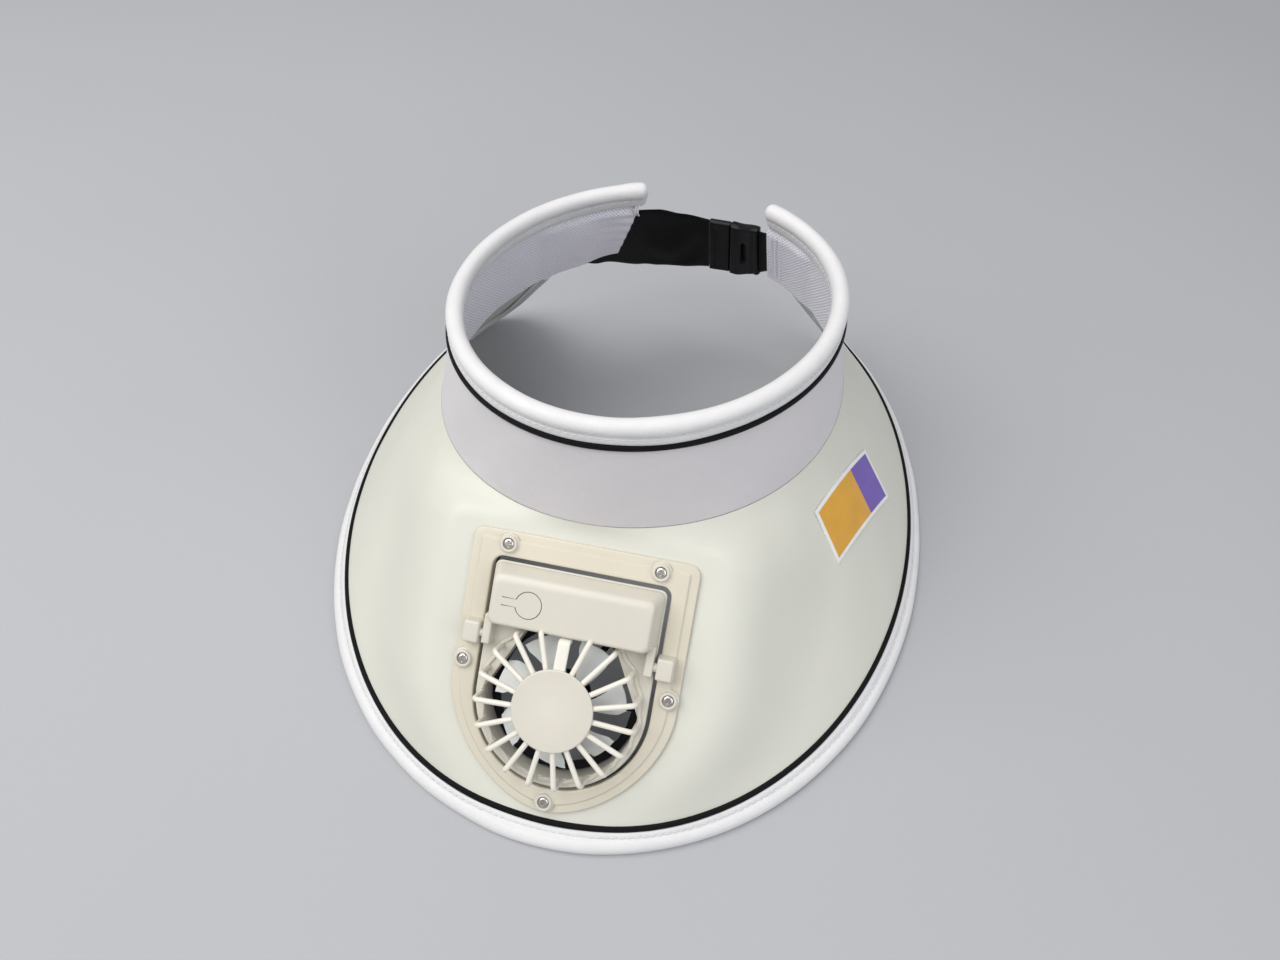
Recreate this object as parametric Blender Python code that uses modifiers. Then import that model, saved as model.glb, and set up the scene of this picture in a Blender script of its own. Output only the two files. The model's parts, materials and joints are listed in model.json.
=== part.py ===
"""Fan sun hat: an open head band with a wide cone-like brim and a tilting fan let into its front.

The hat rests on its rim. +Z is up, the front faces -Y, and lengths are in metres. A turn is an
angle about the vertical axis of the head: 0 at the front, positive towards +X.
"""
import math

import bmesh
import bpy
from mathutils import Matrix, Vector

CLEARANCE = 0.0003
SLOT_CLEARANCE = 0.0004

# Rings of the hat, each a closed oval about the head's axis
TOP_RADIUS = 0.086
SEAM_RADIUS = 0.0976
RIM_RADIUS = 0.1641
TOP_HEIGHT = 0.130
BAND_HEIGHT = 0.0487
RIM_HEIGHT = 0.0036
BAND_LEAN = 0.0116
SEAM_LEAN = 0.0072
BAND_TILT = 0.0024
SEAM_TILT = 0.0019

# Share of each ring's own radius: oval, egg, side bias and skew
RING_SHAPES = {
    "top": (0.006, 0.004, 0.023, -0.029),
    "seam": (0.017, -0.017, 0.014, -0.031),
    "rim": (0.098, 0.016, 0.000, 0.000),
}
TOP_FRONT = 0.007
SEAM_FRONT = 0.035

# Head band
BAND_OFFSET = 0.0015
BAND_THICKNESS = 0.0020
LINING_THICKNESS = 0.0015
BAND_LEFT_END = -168.0
BAND_LEFT_SLANT = 8.0
BAND_RIGHT_END = 148.4
BAND_TOP_GAP = 0.0010
ROLL_OVERHANG = 0.4
POCKET_TOP = 0.18
POCKET_FULL = 0.295
LINING_MIDDLE = 0.62
ROLL_RADIUS = 0.0040
ROLL_CREASE = 0.92
LIP_THICKNESS = 0.0008
OUTER_LIP = 0.0090
INNER_LIP = 0.0080
STRIPE_WIDTH = 0.0021
STRIPE_THICKNESS = 0.0009

# Brim
BRIM_THICKNESS = 0.0020
BRIM_LEFT_END = -130.5
BRIM_RIGHT_END = 138.5
BRIM_CORNER = 0.026
BRIM_SHARES = (0.0, 0.034, 0.10, 0.27, 0.48, 0.70, 0.895)
EDGE_STRIP = 0.0103
BINDING_REACH = 0.0040
BINDING_HALF_THICKNESS = 0.0032
BINDING_LIP = 0.0062
BINDING_CREASE = 0.86
PIPING_WIDTH = 0.0027
PIPING_THICKNESS = 0.0012
PIPING_EDGE = 0.0004
FLAT_SIDE_MARGIN = 0.0100
FLAT_TOP_MARGIN = 0.0048
FLAT_BOTTOM_MARGIN = 0.0030
FLAT_FALLOFF = 0.050
PATCH_GAP = 0.0006
PATCH_THICKNESS = 0.0004
PATCH_CORNERS = ((82.6, 0.292), (80.3, 0.614), (55.1, 0.435), (55.7, 0.176))

# Back strap: turn in degrees, then top edge, bottom edge and flare as shares of the band
STRAP_THICKNESS = 0.0016
POCKET_SPREAD = 8.0
STRAP_COURSE = (
    (-140.0, 0.36, 0.98, 1.0),
    (-151.5, 0.32, 1.17, 1.0),
    (-166.0, 0.30, 1.28, 1.0),
    (-172.0, 0.33, 1.29, 0.8),
    (-180.0, 0.38, 1.27, 0.6),
    (-190.0, 0.44, 1.18, 0.5),
    (-199.0, 0.41, 1.13, 0.5),
    (-207.0, 0.33, 1.03, 0.8),
    (-212.0, 0.30, 0.98, 1.0),
    (-220.0, 0.34, 0.92, 1.0),
)
STRAP_START = -140.0
TAB_END = -219.0
CLIP_START = -189.5
CLIP_LENGTH = 0.012
SOCKET_LENGTH = 0.0175
CLIP_THICKNESS = 0.0036
SOCKET_THICKNESS = 0.0052
TONGUE_LENGTH = 0.010
TONGUE_HEIGHT = 0.018
TONGUE_THICKNESS = 0.0018
TONGUE_ROOT = 0.0020
TAB_INSET = 0.0014
WINDOW_PLACE = 0.0074
WINDOW_LENGTH = 0.0030
WINDOW_HEIGHT = 0.013

# Seat of the fan on the front of the brim, and its frame
FAN_DROP = 0.0545
FAN_SINK = 0.0020
FAN_OFFSET = -0.0016
FRAME_HALF_WIDTH = 0.0506
FRAME_TOP = 0.0452
FRAME_SIDE_END = -0.0215
FRAME_BOTTOM = -0.0747
FRAME_MARGIN = 0.01172
FRAME_POINT = 1.75
FRAME_CORNER = 0.005
FRAME_EDGE = 0.0004
FLANGE_THICKNESS = 0.0017
FRAME_STEP = 0.0010
FRAME_STEP_INSET = 0.0034
FRAME_SLOPE = 0.0008
OPENING_SLOPE = 0.0012
FRAME_COLLAR = 0.0015
CLAMP_INSET = 0.0045
CLAMP_THICKNESS = 0.0018
CLAMP_PAD = 0.0010
BOSS_RADIUS = 0.0038
BOSS_HEIGHT = 0.0018
BOSS_EDGE = 0.0005
SCREW_HEAD_RADIUS = 0.0022
SCREW_HEAD_HEIGHT = 0.0012
SCREW_HEAD_EDGE = 0.0006
SCREW_SHANK_RADIUS = 0.0010
SCREW_TIP = 0.0006
SCREW_RECESS = 0.0014
SCREW_RECESS_DEPTH = 0.0007
SCREW_SLOT = 0.0005
TOP_SCREW_SIDE_INSET = 0.0167
TOP_SCREW_INSET = 0.0054
SIDE_SCREW_INSET = 0.0044
SIDE_SCREW_DROP = 0.0140
LOW_SCREW_INSET = 0.0052
EAR_WIDTH = 0.0082
EAR_GAP = 0.0005
EAR_LENGTH = 0.0105
EAR_HEIGHT = 0.0105
EAR_BEVEL = 0.0009

# Pod that tilts on the ears, with the fan in its round end and the battery in its square end
POD_HALF_WIDTH = 0.0383
POD_SIDE_GAP = 0.0016
POD_REACH = 0.0324
POD_CORNER = 0.0030
POD_DEPTH = 0.0070
POD_DRAFT = 0.0034
POD_FACE = 0.0040
POD_EDGE = 0.0008
POD_BREAK = 0.0025
PIVOT_HEIGHT = 0.0070
PIN_RADIUS = 0.0020
PIN_LENGTH = 0.0045
PIN_ROOT = 0.0030
LUG_WIDTH = 0.0044
LUG_LENGTH = 0.0044
LUG_HEIGHT = 0.0100
LUG_LOW = 0.0010
LUG_BEVEL = 0.0008
BOX_TOP = 0.0160
BOX_EDGE_INSET = 0.0004
BOX_UPPER_INSET = 0.0028
BOX_SIDE_INSET = 0.0024
BOX_LOWER = 0.0064
BOX_BEVEL = 0.0014
BOX_WALL = 0.0020
BOX_FOOT = 0.0015
BUTTON_RADIUS = 0.0058
BUTTON_PLACE = (-0.0182, 0.0172)
BUTTON_SLIT = 0.0004
BUTTON_TAIL = 0.0060
BACK_THICKNESS = 0.0015
BACK_INSET = 0.0009
BACK_OPENINGS = 6
BACK_SPOKE = 0.0030
BACK_RIM = 0.0040
MOTOR_SEAT_WALL = 0.0016
MOTOR_SEAT_HEIGHT = 0.0025
MOTOR_SEAT_MARGIN = 0.0035

# Fan
FAN_CENTRE = -0.0238
FAN_BORE = 0.0343
GRILLE_RADIUS = 0.0362
GRILLE_RIBS = 19
RIB_WIDTH = 0.0022
RIB_DEPTH = 0.0020
RIB_LEG = 0.0022
RIB_ROOT = 0.0021
RIB_SINK = 0.0008
RIB_KNEE = 0.0006
RIB_ON_BOX = 0.0032
BORE_WALL = 0.0008
KNEE_HEIGHT = 0.0182
DISC_RADIUS = 0.0177
DISC_TOP = 0.0208
DISC_THICKNESS = 0.0016
DISC_EDGE = 0.0004
DISC_UNDERCUT = 0.0012
WIDE_RIB_WIDTH = 0.0052
MOTOR_RADIUS = 0.0080
MOTOR_HEIGHT = 0.0115
MOTOR_SHAFT_RADIUS = 0.0010
MOTOR_SHAFT_LENGTH = 0.0030
HUB_RADIUS = 0.0100
HUB_WALL = 0.0012
HUB_HEIGHT = 0.0110
HUB_EDGE = 0.0008
HUB_BOSS = 0.0016
IMPELLER_RADIUS = 0.0288
IMPELLER_BLADES = 7
BLADE_LIFT = 0.0010
BLADE_HEIGHT = 0.0080
BLADE_THICKNESS = 0.0010
BLADE_SPAN = 34.0
BLADE_SLOPE = 0.8
BLADE_SWEEP = 0.25

# Fineness of the meshes
BAND_STATIONS = 42
FRONT_STATIONS = 23
FRONT_ANGLE = 31.0
OUTLINE_ARC = 16
ROUND_SIDES = 20
SMALL_SIDES = 10
DISC_SIDES = 32
BORE_SIDES = 40

# How far a cutter stands out of what it cuts, and how deep a joined shape is sunk
CUTTER_REACH = 0.0100
BRIM_CUTTER_REACH = 0.0200
SINK = 0.0005


def share_of(value, low, high):
    """Where value lies between low and high, from 0 to 1, with soft ends."""
    x = min(1.0, max(0.0, (value - low) / (high - low)))
    return x * x * (3.0 - 2.0 * x)


def rim_front():
    """Front bias of the rim that leaves the frame's margin below it on the brim."""
    slope = FAN_DROP - FRAME_BOTTOM + FRAME_MARGIN
    fall = TOP_HEIGHT - BAND_HEIGHT + SEAM_LEAN - RIM_HEIGHT
    oval, egg, _, _ = RING_SHAPES["seam"]
    seam = SEAM_RADIUS * (1.0 + SEAM_FRONT + oval + egg)
    oval, egg, _, _ = RING_SHAPES["rim"]
    return (seam + math.sqrt(slope * slope - fall * fall)) / RIM_RADIUS - 1.0 - oval - egg


RINGS = {
    "top": (TOP_RADIUS, TOP_HEIGHT, BAND_LEAN, BAND_TILT, TOP_FRONT),
    "seam": (SEAM_RADIUS, TOP_HEIGHT - BAND_HEIGHT, SEAM_LEAN, SEAM_TILT, SEAM_FRONT),
    "rim": (RIM_RADIUS, RIM_HEIGHT, 0.0, 0.0, rim_front()),
}


def ring_point(ring, turn):
    """Point of a ring at a turn in radians."""
    size, level, lean, tilt, front = RINGS[ring]
    oval, egg, side, skew = RING_SHAPES[ring]
    radius = size * (1.0 + front * math.cos(turn) + oval * math.cos(2.0 * turn)
                     + egg * math.cos(3.0 * turn) + side * math.sin(turn)
                     + skew * math.sin(2.0 * turn))
    height = level + lean * math.cos(turn) + tilt * math.sin(turn)
    return Vector((radius * math.sin(turn), -radius * math.cos(turn), height))


def top_frame(turn):
    """Centre line of the roll with its own axes: up along the band and out of it."""
    step = 0.01
    top = ring_point("top", turn)
    seam = ring_point("seam", turn)
    along = (ring_point("top", turn + step) - ring_point("top", turn - step)).normalized()
    out = Vector((math.sin(turn), -math.cos(turn), 0.0))
    for _ in range(2):
        up = top + out * BAND_OFFSET - seam
        up = (up - along * up.dot(along)).normalized()
        out = along.cross(up)
    return top, up, out


def band_point(turn, share, inward=0.0):
    """Point of the band's outer face at a share of its height, or a distance inward of it."""
    step = 0.01

    def face(at_turn, at_share):
        top, _, out = top_frame(at_turn)
        return (top + out * BAND_OFFSET).lerp(ring_point("seam", at_turn), at_share)

    along = face(turn + step, share) - face(turn - step, share)
    down = face(turn, share + step) - face(turn, share - step)
    normal = down.cross(along).normalized()
    return face(turn, share) - normal * inward


def outline(half_width, top, side_end, bottom, point, corner, grow=0.0):
    """Square-topped, round-bottomed outline, anticlockwise from the right side's lower end."""
    half_width += grow
    top += grow
    bottom -= grow
    corner = max(corner + grow, CLEARANCE)
    points = []
    for step in range(OUTLINE_ARC + 1):
        angle = math.pi * step / OUTLINE_ARC
        across = math.copysign(abs(math.cos(angle)) ** (2.0 / point), math.cos(angle))
        fall = abs(math.sin(angle)) ** (2.0 / point)
        points.append((half_width * across, side_end - (side_end - bottom) * fall))
    points = [(x, y) for x, y in reversed(points)]
    for side, first in ((1.0, 0.0), (-1.0, 90.0)):
        for step in range(3):
            angle = math.radians(first + 45.0 * step)
            points.append((side * (half_width - corner) + corner * math.cos(angle),
                           top - corner + corner * math.sin(angle)))
    return points


def frame_outline(grow=0.0):
    return outline(FRAME_HALF_WIDTH, FRAME_TOP, FRAME_SIDE_END, FRAME_BOTTOM, FRAME_POINT,
                   FRAME_CORNER, grow)


def pod_outline(grow=0.0):
    return outline(POD_HALF_WIDTH, POD_REACH, FAN_CENTRE, FAN_CENTRE - POD_HALF_WIDTH, 2.0,
                   POD_CORNER, grow)


def opening_outline(grow=0.0):
    return pod_outline(POD_SIDE_GAP + grow)


def fan_seat():
    """Matrix of the fan's own frame: x to the side, y up the brim, z out of it."""
    seam = ring_point("seam", 0.0)
    down = (ring_point("rim", 0.0) - seam).normalized()
    side = Vector((1.0, 0.0, 0.0))
    out = down.cross(side).normalized()
    origin = seam + down * FAN_DROP - out * FAN_SINK + side * FAN_OFFSET
    matrix = Matrix((side, -down, out)).transposed().to_4x4()
    matrix.translation = origin
    return matrix


SEAT = fan_seat()
SEAT_INVERSE = SEAT.inverted()
FLAT_OUTLINE = outline(FRAME_HALF_WIDTH + FLAT_SIDE_MARGIN, FRAME_TOP + FLAT_TOP_MARGIN,
                       FRAME_SIDE_END, FRAME_BOTTOM - FLAT_BOTTOM_MARGIN, FRAME_POINT,
                       FRAME_CORNER)


def distance_outside(x, y, points):
    """Distance from (x, y) to a closed outline, or 0 inside it."""
    inside = False
    nearest = 1.0
    for (ax, ay), (bx, by) in zip(points, points[1:] + points[:1]):
        if (ay > y) != (by > y) and x < (bx - ax) * (y - ay) / (by - ay) + ax:
            inside = not inside
        length = max((bx - ax) ** 2 + (by - ay) ** 2, 1e-12)
        share = min(1.0, max(0.0, ((x - ax) * (bx - ax) + (y - ay) * (by - ay)) / length))
        nearest = min(nearest, math.hypot(x - ax - share * (bx - ax), y - ay - share * (by - ay)))
    return 0.0 if inside else nearest


def brim_face(turn, share):
    """Point of the brim's upper face, drawn flat where the fan's frame is clamped on it."""
    seam = ring_point("seam", turn)
    rim = ring_point("rim", turn)
    width = (rim - seam).length
    start = CLEARANCE / width
    point = seam.lerp(rim, start + (1.0 - start) * share)
    if abs(turn) > math.pi / 2.0:
        return point
    local = SEAT_INVERSE @ point
    away = distance_outside(local.x, local.y, FLAT_OUTLINE)
    pull = 1.0 - share_of(away, 0.0, FLAT_FALLOFF)
    pull *= share_of(share * width / (share * width + away + 1e-9), 0.0, 1.0)
    pull *= share_of((1.0 - share) * width / ((1.0 - share) * width + away + 1e-9), 0.0, 1.0)
    local.z *= 1.0 - pull
    return SEAT @ local


def brim_frame(turn, share):
    """Point, direction along the brim, direction down it, and normal."""
    step = 0.004
    point = brim_face(turn, share)
    along = (brim_face(turn + step, share) - brim_face(turn - step, share)).normalized()
    low = max(share - step, 0.0)
    down = (brim_face(turn, low + 2.0 * step) - brim_face(turn, low)).normalized()
    return point, along, down, down.cross(along).normalized()


def corner_edge(side, angle):
    """Turn and share of the edge in a corner of the brim, 0 at the rim to pi/2 at the side."""
    end = math.radians(BRIM_LEFT_END if side < 0.0 else BRIM_RIGHT_END)
    rim = ring_point("rim", end)
    width = (rim - ring_point("seam", end)).length
    sweep = BRIM_CORNER / math.hypot(rim.x, rim.y)
    turn = end - side * sweep * (1.0 - math.sin(angle))
    return turn, 1.0 - BRIM_CORNER / width * (1.0 - math.cos(angle))


def brim_columns():
    """Turn and reach of the brim's columns, from the left side to the right side."""
    angles = spread(0.0, math.pi / 2.0, 5)
    left = [corner_edge(-1.0, angle) for angle in reversed(angles)]
    right = [corner_edge(1.0, angle) for angle in angles]
    front = math.radians(FRONT_ANGLE)
    middle = spread(left[-1][0], -front, 9)[1:-1] + spread(-front, front, FRONT_STATIONS)
    middle += spread(front, right[0][0], 10)[1:-1]
    return left + [(turn, 1.0) for turn in middle] + right


def brim_edge():
    """Turns and shares all along the brim's free edge: left side, rim, right side."""
    columns = brim_columns()
    turn, reach = columns[0]
    left = [(turn, share * reach) for share in BRIM_SHARES[1:]]
    turn, reach = columns[-1]
    right = [(turn, share * reach) for share in reversed(BRIM_SHARES[1:])]
    return left + columns + right


def edge_stations():
    """Stations of the free edge: its point and the directions out of it and square to it."""
    edge = brim_edge()
    stations = []
    for index, (turn, share) in enumerate(edge):
        before = edge[max(index - 1, 0)]
        after = edge[min(index + 1, len(edge) - 1)]
        width = (ring_point("rim", turn) - ring_point("seam", turn)).length
        point = brim_face(turn, share)
        radius = math.hypot(point.x, point.y)
        directions = []
        for low, high in ((before, (turn, share)), ((turn, share), after)):
            step = Vector(((high[0] - low[0]) * radius, (high[1] - low[1]) * width))
            if step.length > 1e-9:
                directions.append(step.normalized())
        run = sum(directions, Vector((0.0, 0.0))).normalized()
        inner = brim_face(turn + run.y * EDGE_STRIP / radius, share - run.x * EDGE_STRIP / width)
        near = 0.05 * EDGE_STRIP
        along = brim_face(turn + run.x * near / radius, share + run.y * near / width)
        along = (along - brim_face(turn - run.x * near / radius,
                                   share - run.y * near / width)).normalized()
        out = point - inner
        out = (out - along * out.dot(along)).normalized()
        stations.append((point, out, out.cross(along)))
    return stations


def spread(first, last, count):
    """Evenly spaced numbers from first to last."""
    return [first + (last - first) * step / (count - 1) for step in range(count)]


def new_object(name, mesh, collection, material):
    shape = bpy.data.objects.new(name, mesh)
    collection.objects.link(shape)
    if material:
        mesh.materials.append(material)
    return shape


def mesh_of(name, points, faces):
    mesh = bpy.data.meshes.new(name)
    mesh.from_pydata([tuple(p) for p in points], [], faces)
    mesh.update()
    return mesh


def facing_out(mesh):
    shape = bmesh.new()
    shape.from_mesh(mesh)
    bmesh.ops.remove_doubles(shape, verts=shape.verts, dist=1e-7)
    bmesh.ops.recalc_face_normals(shape, faces=shape.faces)
    shape.to_mesh(mesh)
    shape.free()
    return mesh


def applied(source, raised=0.0):
    """Mesh of an object with its modifiers, raised by a height. The object is removed."""
    bpy.context.scene.collection.objects.link(source)
    bpy.context.view_layer.update()
    graph = bpy.context.evaluated_depsgraph_get()
    mesh = bpy.data.meshes.new_from_object(source.evaluated_get(graph))
    bpy.data.objects.remove(source)
    mesh.transform(Matrix.Translation((0.0, 0.0, raised)))
    mesh.materials.clear()
    return facing_out(mesh)


def cylinder(radius, low, high, sides=ROUND_SIDES, x=0.0, y=0.0):
    """Upright cylinder between two heights."""
    mesh = bpy.data.meshes.new("cylinder")
    shape = bmesh.new()
    bmesh.ops.create_cone(shape, cap_ends=True, segments=sides, radius1=radius, radius2=radius,
                          depth=high - low, matrix=Matrix.Translation((x, y, (low + high) / 2.0)))
    shape.to_mesh(mesh)
    shape.free()
    return mesh


def block(left, right, low, high, bottom, top, bevel):
    """Box with bevelled edges."""
    mesh = bpy.data.meshes.new("block")
    shape = bmesh.new()
    middle = Matrix.Translation(((left + right) / 2.0, (low + high) / 2.0, (bottom + top) / 2.0))
    sizes = Matrix.Diagonal((right - left, high - low, top - bottom, 1.0))
    bmesh.ops.create_cube(shape, size=1.0, matrix=middle @ sizes)
    bmesh.ops.bevel(shape, geom=shape.edges[:], offset=bevel, segments=1, affect="EDGES")
    shape.to_mesh(mesh)
    shape.free()
    return mesh


def turned(profile, sides=ROUND_SIDES, x=0.0, y=0.0):
    """Solid turned about an upright line, from (radius, height) pairs that end on it."""
    mesh = bpy.data.meshes.new("turned")
    edges = [(index, index + 1) for index in range(len(profile) - 1)]
    mesh.from_pydata([(radius, 0.0, height) for radius, height in profile], edges, [])
    source = bpy.data.objects.new("turned", mesh)
    screw = source.modifiers.new("turn", "SCREW")
    screw.steps = sides
    screw.render_steps = sides
    made = applied(source)
    shape = bmesh.new()
    shape.from_mesh(made)
    ends = [vertex for vertex in shape.verts if vertex.co.xy.length < 1e-6]
    bmesh.ops.dissolve_verts(shape, verts=ends)
    shape.to_mesh(made)
    shape.free()
    made.transform(Matrix.Translation((x, y, 0.0)))
    return made


def plate(points, low, high):
    """Flat outline made thick between two heights."""
    curve = bpy.data.curves.new("plate", "CURVE")
    curve.dimensions = "2D"
    curve.fill_mode = "BOTH"
    curve.extrude = (high - low) / 2.0
    line = curve.splines.new("POLY")
    line.points.add(len(points) - 1)
    for place, (x, y) in zip(line.points, points):
        place.co = (x, y, 0.0, 1.0)
    line.use_cyclic_u = True
    return applied(bpy.data.objects.new("plate", curve), (low + high) / 2.0)


def loft(name, sections, ring=False):
    """Closed solid through sections of equal count: capped at both ends, or a ring."""
    count = len(sections[0])
    points = [point for section in sections for point in section]
    faces = []
    steps = len(sections) if ring else len(sections) - 1
    for step in range(steps):
        low = step * count
        high = ((step + 1) % len(sections)) * count
        for index in range(count):
            after = (index + 1) % count
            faces.append((low + index, low + after, high + after, high + index))
    if not ring:
        faces.append(tuple(range(count)))
        faces.append(tuple(reversed(range(len(points) - count, len(points)))))
    return facing_out(mesh_of(name, points, faces))


def sheet(name, upper, lower):
    """Closed sheet between two grids of points of the same size."""
    wide = len(upper[0])
    rows = len(upper)
    count = rows * wide
    faces = []
    for row in range(rows - 1):
        for index in range(wide - 1):
            first = row * wide + index
            face = (first, first + 1, first + wide + 1, first + wide)
            faces.append(face)
            faces.append(tuple(count + corner for corner in reversed(face)))
    border = list(range(wide))
    border += [row * wide + wide - 1 for row in range(1, rows)]
    border += [(rows - 1) * wide + index for index in range(wide - 2, -1, -1)]
    border += [row * wide for row in range(rows - 2, 0, -1)]
    for first, after in zip(border, border[1:] + border[:1]):
        faces.append((after, first, count + first, count + after))
    points = [point for row in upper + lower for point in row]
    return facing_out(mesh_of(name, points, faces))


def stack(name, levels, ring=False):
    """Loft through flat outlines, each given with its height."""
    sections = [[Vector((x, y, height)) for x, y in points] for points, height in levels]
    return loft(name, sections, ring)


def circle(radius, sides=ROUND_SIDES, x=0.0, y=0.0):
    angles = [2.0 * math.pi * step / sides for step in range(sides)]
    return [(x + radius * math.cos(angle), y + radius * math.sin(angle)) for angle in angles]


def rectangle(left, right, low, high, cut=0.0008):
    """Rectangle with its corners cut."""
    return [(right, low + cut), (right, high - cut), (right - cut, high), (left + cut, high),
            (left, high - cut), (left, low + cut), (left + cut, low), (right - cut, low)]


class Hat:
    """The collections, materials and pieces of the hat."""

    def __init__(self):
        self.parts = bpy.data.collections.new("fan_sun_hat")
        self.cutters = bpy.data.collections.new("cutters")
        bpy.context.scene.collection.children.link(self.parts)
        bpy.context.scene.collection.children.link(self.cutters)
        self.materials = {}
        self.root = bpy.data.objects.new("hat_root", None)
        self.parts.objects.link(self.root)
        self.seat = bpy.data.objects.new("fan_seat", None)
        self.seat.parent = self.root
        self.seat.matrix_local = SEAT
        self.parts.objects.link(self.seat)
        self.pivot = bpy.data.objects.new("pod_pivot", None)
        self.pivot.parent = self.seat
        self.pivot.location = (0.0, 0.0, PIVOT_HEIGHT)
        self.parts.objects.link(self.pivot)

    def material(self, name, colour, roughness, metallic=0.0):
        if name not in self.materials:
            made = bpy.data.materials.new(name)
            made.use_nodes = True
            node = made.node_tree.nodes["Principled BSDF"]
            node.inputs["Base Color"].default_value = (*colour, 1.0)
            node.inputs["Roughness"].default_value = roughness
            node.inputs["Metallic"].default_value = metallic
            self.materials[name] = made
        return self.materials[name]

    def piece(self, name, mesh, material):
        """A piece of cloth or trim, modelled where it lies."""
        shape = new_object(name, mesh, self.parts, material)
        shape.parent = self.root
        return shape

    def on_seat(self, name, mesh, material):
        """A piece modelled in the fan's own frame."""
        shape = new_object(name, mesh, self.parts, material)
        shape.parent = self.seat
        return shape

    def on_pod(self, name, mesh, material, x=0.0, y=0.0):
        """A piece of the pod, with its origin on the tilt axis or at (x, y) of the seat."""
        shape = new_object(name, mesh, self.parts, material)
        mesh.transform(Matrix.Translation((-x, -y, -PIVOT_HEIGHT)))
        shape.parent = self.pivot
        shape.location = (x, y, 0.0)
        return shape

    def shape_with(self, shape, mesh, operation, parent=None):
        """Cut shape with a mesh in the same frame or the parent's, or join that mesh to it."""
        cutter = new_object(f"{shape.name}_{len(self.cutters.objects)}", mesh, self.cutters, None)
        cutter.hide_render = True
        cutter.display_type = "WIRE"
        if shape.parent == self.pivot:
            mesh.transform(Matrix.Translation((-shape.location.x, -shape.location.y,
                                               -PIVOT_HEIGHT)))
            cutter.location = shape.location
        cutter.parent = parent or shape.parent
        boolean = shape.modifiers.new(cutter.name, "BOOLEAN")
        boolean.operation = operation
        boolean.solver = "EXACT"
        boolean.object = cutter
        return cutter


def cream(hat):
    return hat.material("cream_plastic", (0.80, 0.77, 0.66), 0.35)


def white_cloth(hat):
    return hat.material("white_cloth", (0.86, 0.86, 0.87), 0.75)


def black_cloth(hat):
    return hat.material("black_cloth", (0.012, 0.012, 0.014), 0.7)


def make_brim(hat):
    """Coated cloth of the brim, with the hole that the fan's frame goes through."""
    columns = brim_columns()
    stations = edge_stations()
    sides = len(BRIM_SHARES) - 1
    inset = 2.0 * CLEARANCE
    upper = []
    lower = []
    for index, (turn, reach) in enumerate(columns):
        top = []
        under = []
        for share in BRIM_SHARES:
            face, _, _, square = brim_frame(turn, share * reach)
            top.append(face)
            under.append(face - square * BRIM_THICKNESS)
        point, out, normal = stations[sides + index]
        if reach == 1.0:
            top.append(point - out * EDGE_STRIP)
            under.append(top[-1] - normal * BRIM_THICKNESS)
        top.append(point - out * inset)
        under.append(top[-1] - normal * BRIM_THICKNESS)
        upper.append(top)
        lower.append(under)
    last = len(stations) - 1
    for column, places in ((0, range(sides)), (-1, range(last, last - sides, -1))):
        for row, place in enumerate(places, 1):
            point, out, normal = stations[place]
            upper[column][row] = point - out * inset
            lower[column][row] = upper[column][row] - normal * BRIM_THICKNESS
        upper[column][0] = upper[column][0] - stations[places[0]][1] * inset
        lower[column][0] = upper[column][0] - stations[places[0]][2] * BRIM_THICKNESS
    for top, under in zip(upper, lower):
        if len(top) == len(BRIM_SHARES) + 1:
            top.insert(-1, top[-2].lerp(top[-1], 0.4))
            under.insert(-1, under[-2].lerp(under[-1], 0.4))
    material = hat.material("brim_cloth", (0.80, 0.81, 0.76), 0.45)
    brim = hat.piece("brim_panel", sheet("brim_panel", upper, lower), material)
    hole = plate(opening_outline(FRAME_COLLAR + CLEARANCE), -BRIM_CUTTER_REACH, BRIM_CUTTER_REACH)
    hat.shape_with(brim, hole, "DIFFERENCE", hat.seat)


def binding_section():
    """Section of the brim's binding: a padded roll with two lips on the cloth's faces."""
    face = BRIM_THICKNESS / 2.0 + SLOT_CLEARANCE
    lip = face + LIP_THICKNESS
    crease = -BINDING_REACH * BINDING_CREASE
    points = [(-BINDING_LIP, lip), (crease, lip)]
    for degrees in (118.0, 80.0, 40.0, 0.0, -40.0, -80.0, -118.0):
        angle = math.radians(degrees)
        points.append((BINDING_REACH * math.cos(angle), BINDING_HALF_THICKNESS * math.sin(angle)))
    points += [(crease, -lip), (-BINDING_LIP, -lip), (-BINDING_LIP, -face)]
    points += [(-CLEARANCE, -face), (-CLEARANCE, face), (-BINDING_LIP, face)]
    return points


def along_edge(profile, skip=0):
    """Sections of a profile given as (out, up) from the middle of the brim's edge."""
    stations = edge_stations()
    sections = []
    for point, out, normal in stations[skip:len(stations) - skip]:
        middle = point - normal * (BRIM_THICKNESS / 2.0)
        sections.append([middle + out * e + normal * n for e, n in profile])
    return sections


def make_brim_edge(hat):
    """Binding and piping of the brim. The binding is flattened where it rests."""
    sections = along_edge(binding_section())
    for section in sections:
        for point in section:
            point.z = max(point.z, 0.0)
    hat.piece("brim_binding", loft("brim_binding", sections), white_cloth(hat))
    low = BRIM_THICKNESS / 2.0 + CLEARANCE
    high = low + PIPING_THICKNESS
    near = -BINDING_LIP - CLEARANCE
    far = near - PIPING_WIDTH
    profile = ((near, low), (near - PIPING_EDGE, high), (far + PIPING_EDGE, high), (far, low))
    hat.piece("brim_piping", loft("brim_piping", along_edge(profile, 1)), black_cloth(hat))


def band_turn(place, share):
    """Turn at a place from 0 to 1 along the band: its left end is cut on the slant."""
    slant = BAND_LEFT_SLANT * max(0.0, share - POCKET_TOP) / (1.0 - POCKET_TOP)
    left = math.radians(BAND_LEFT_END + slant)
    right = math.radians(BAND_RIGHT_END)
    return left + (right - left) * place


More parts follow.
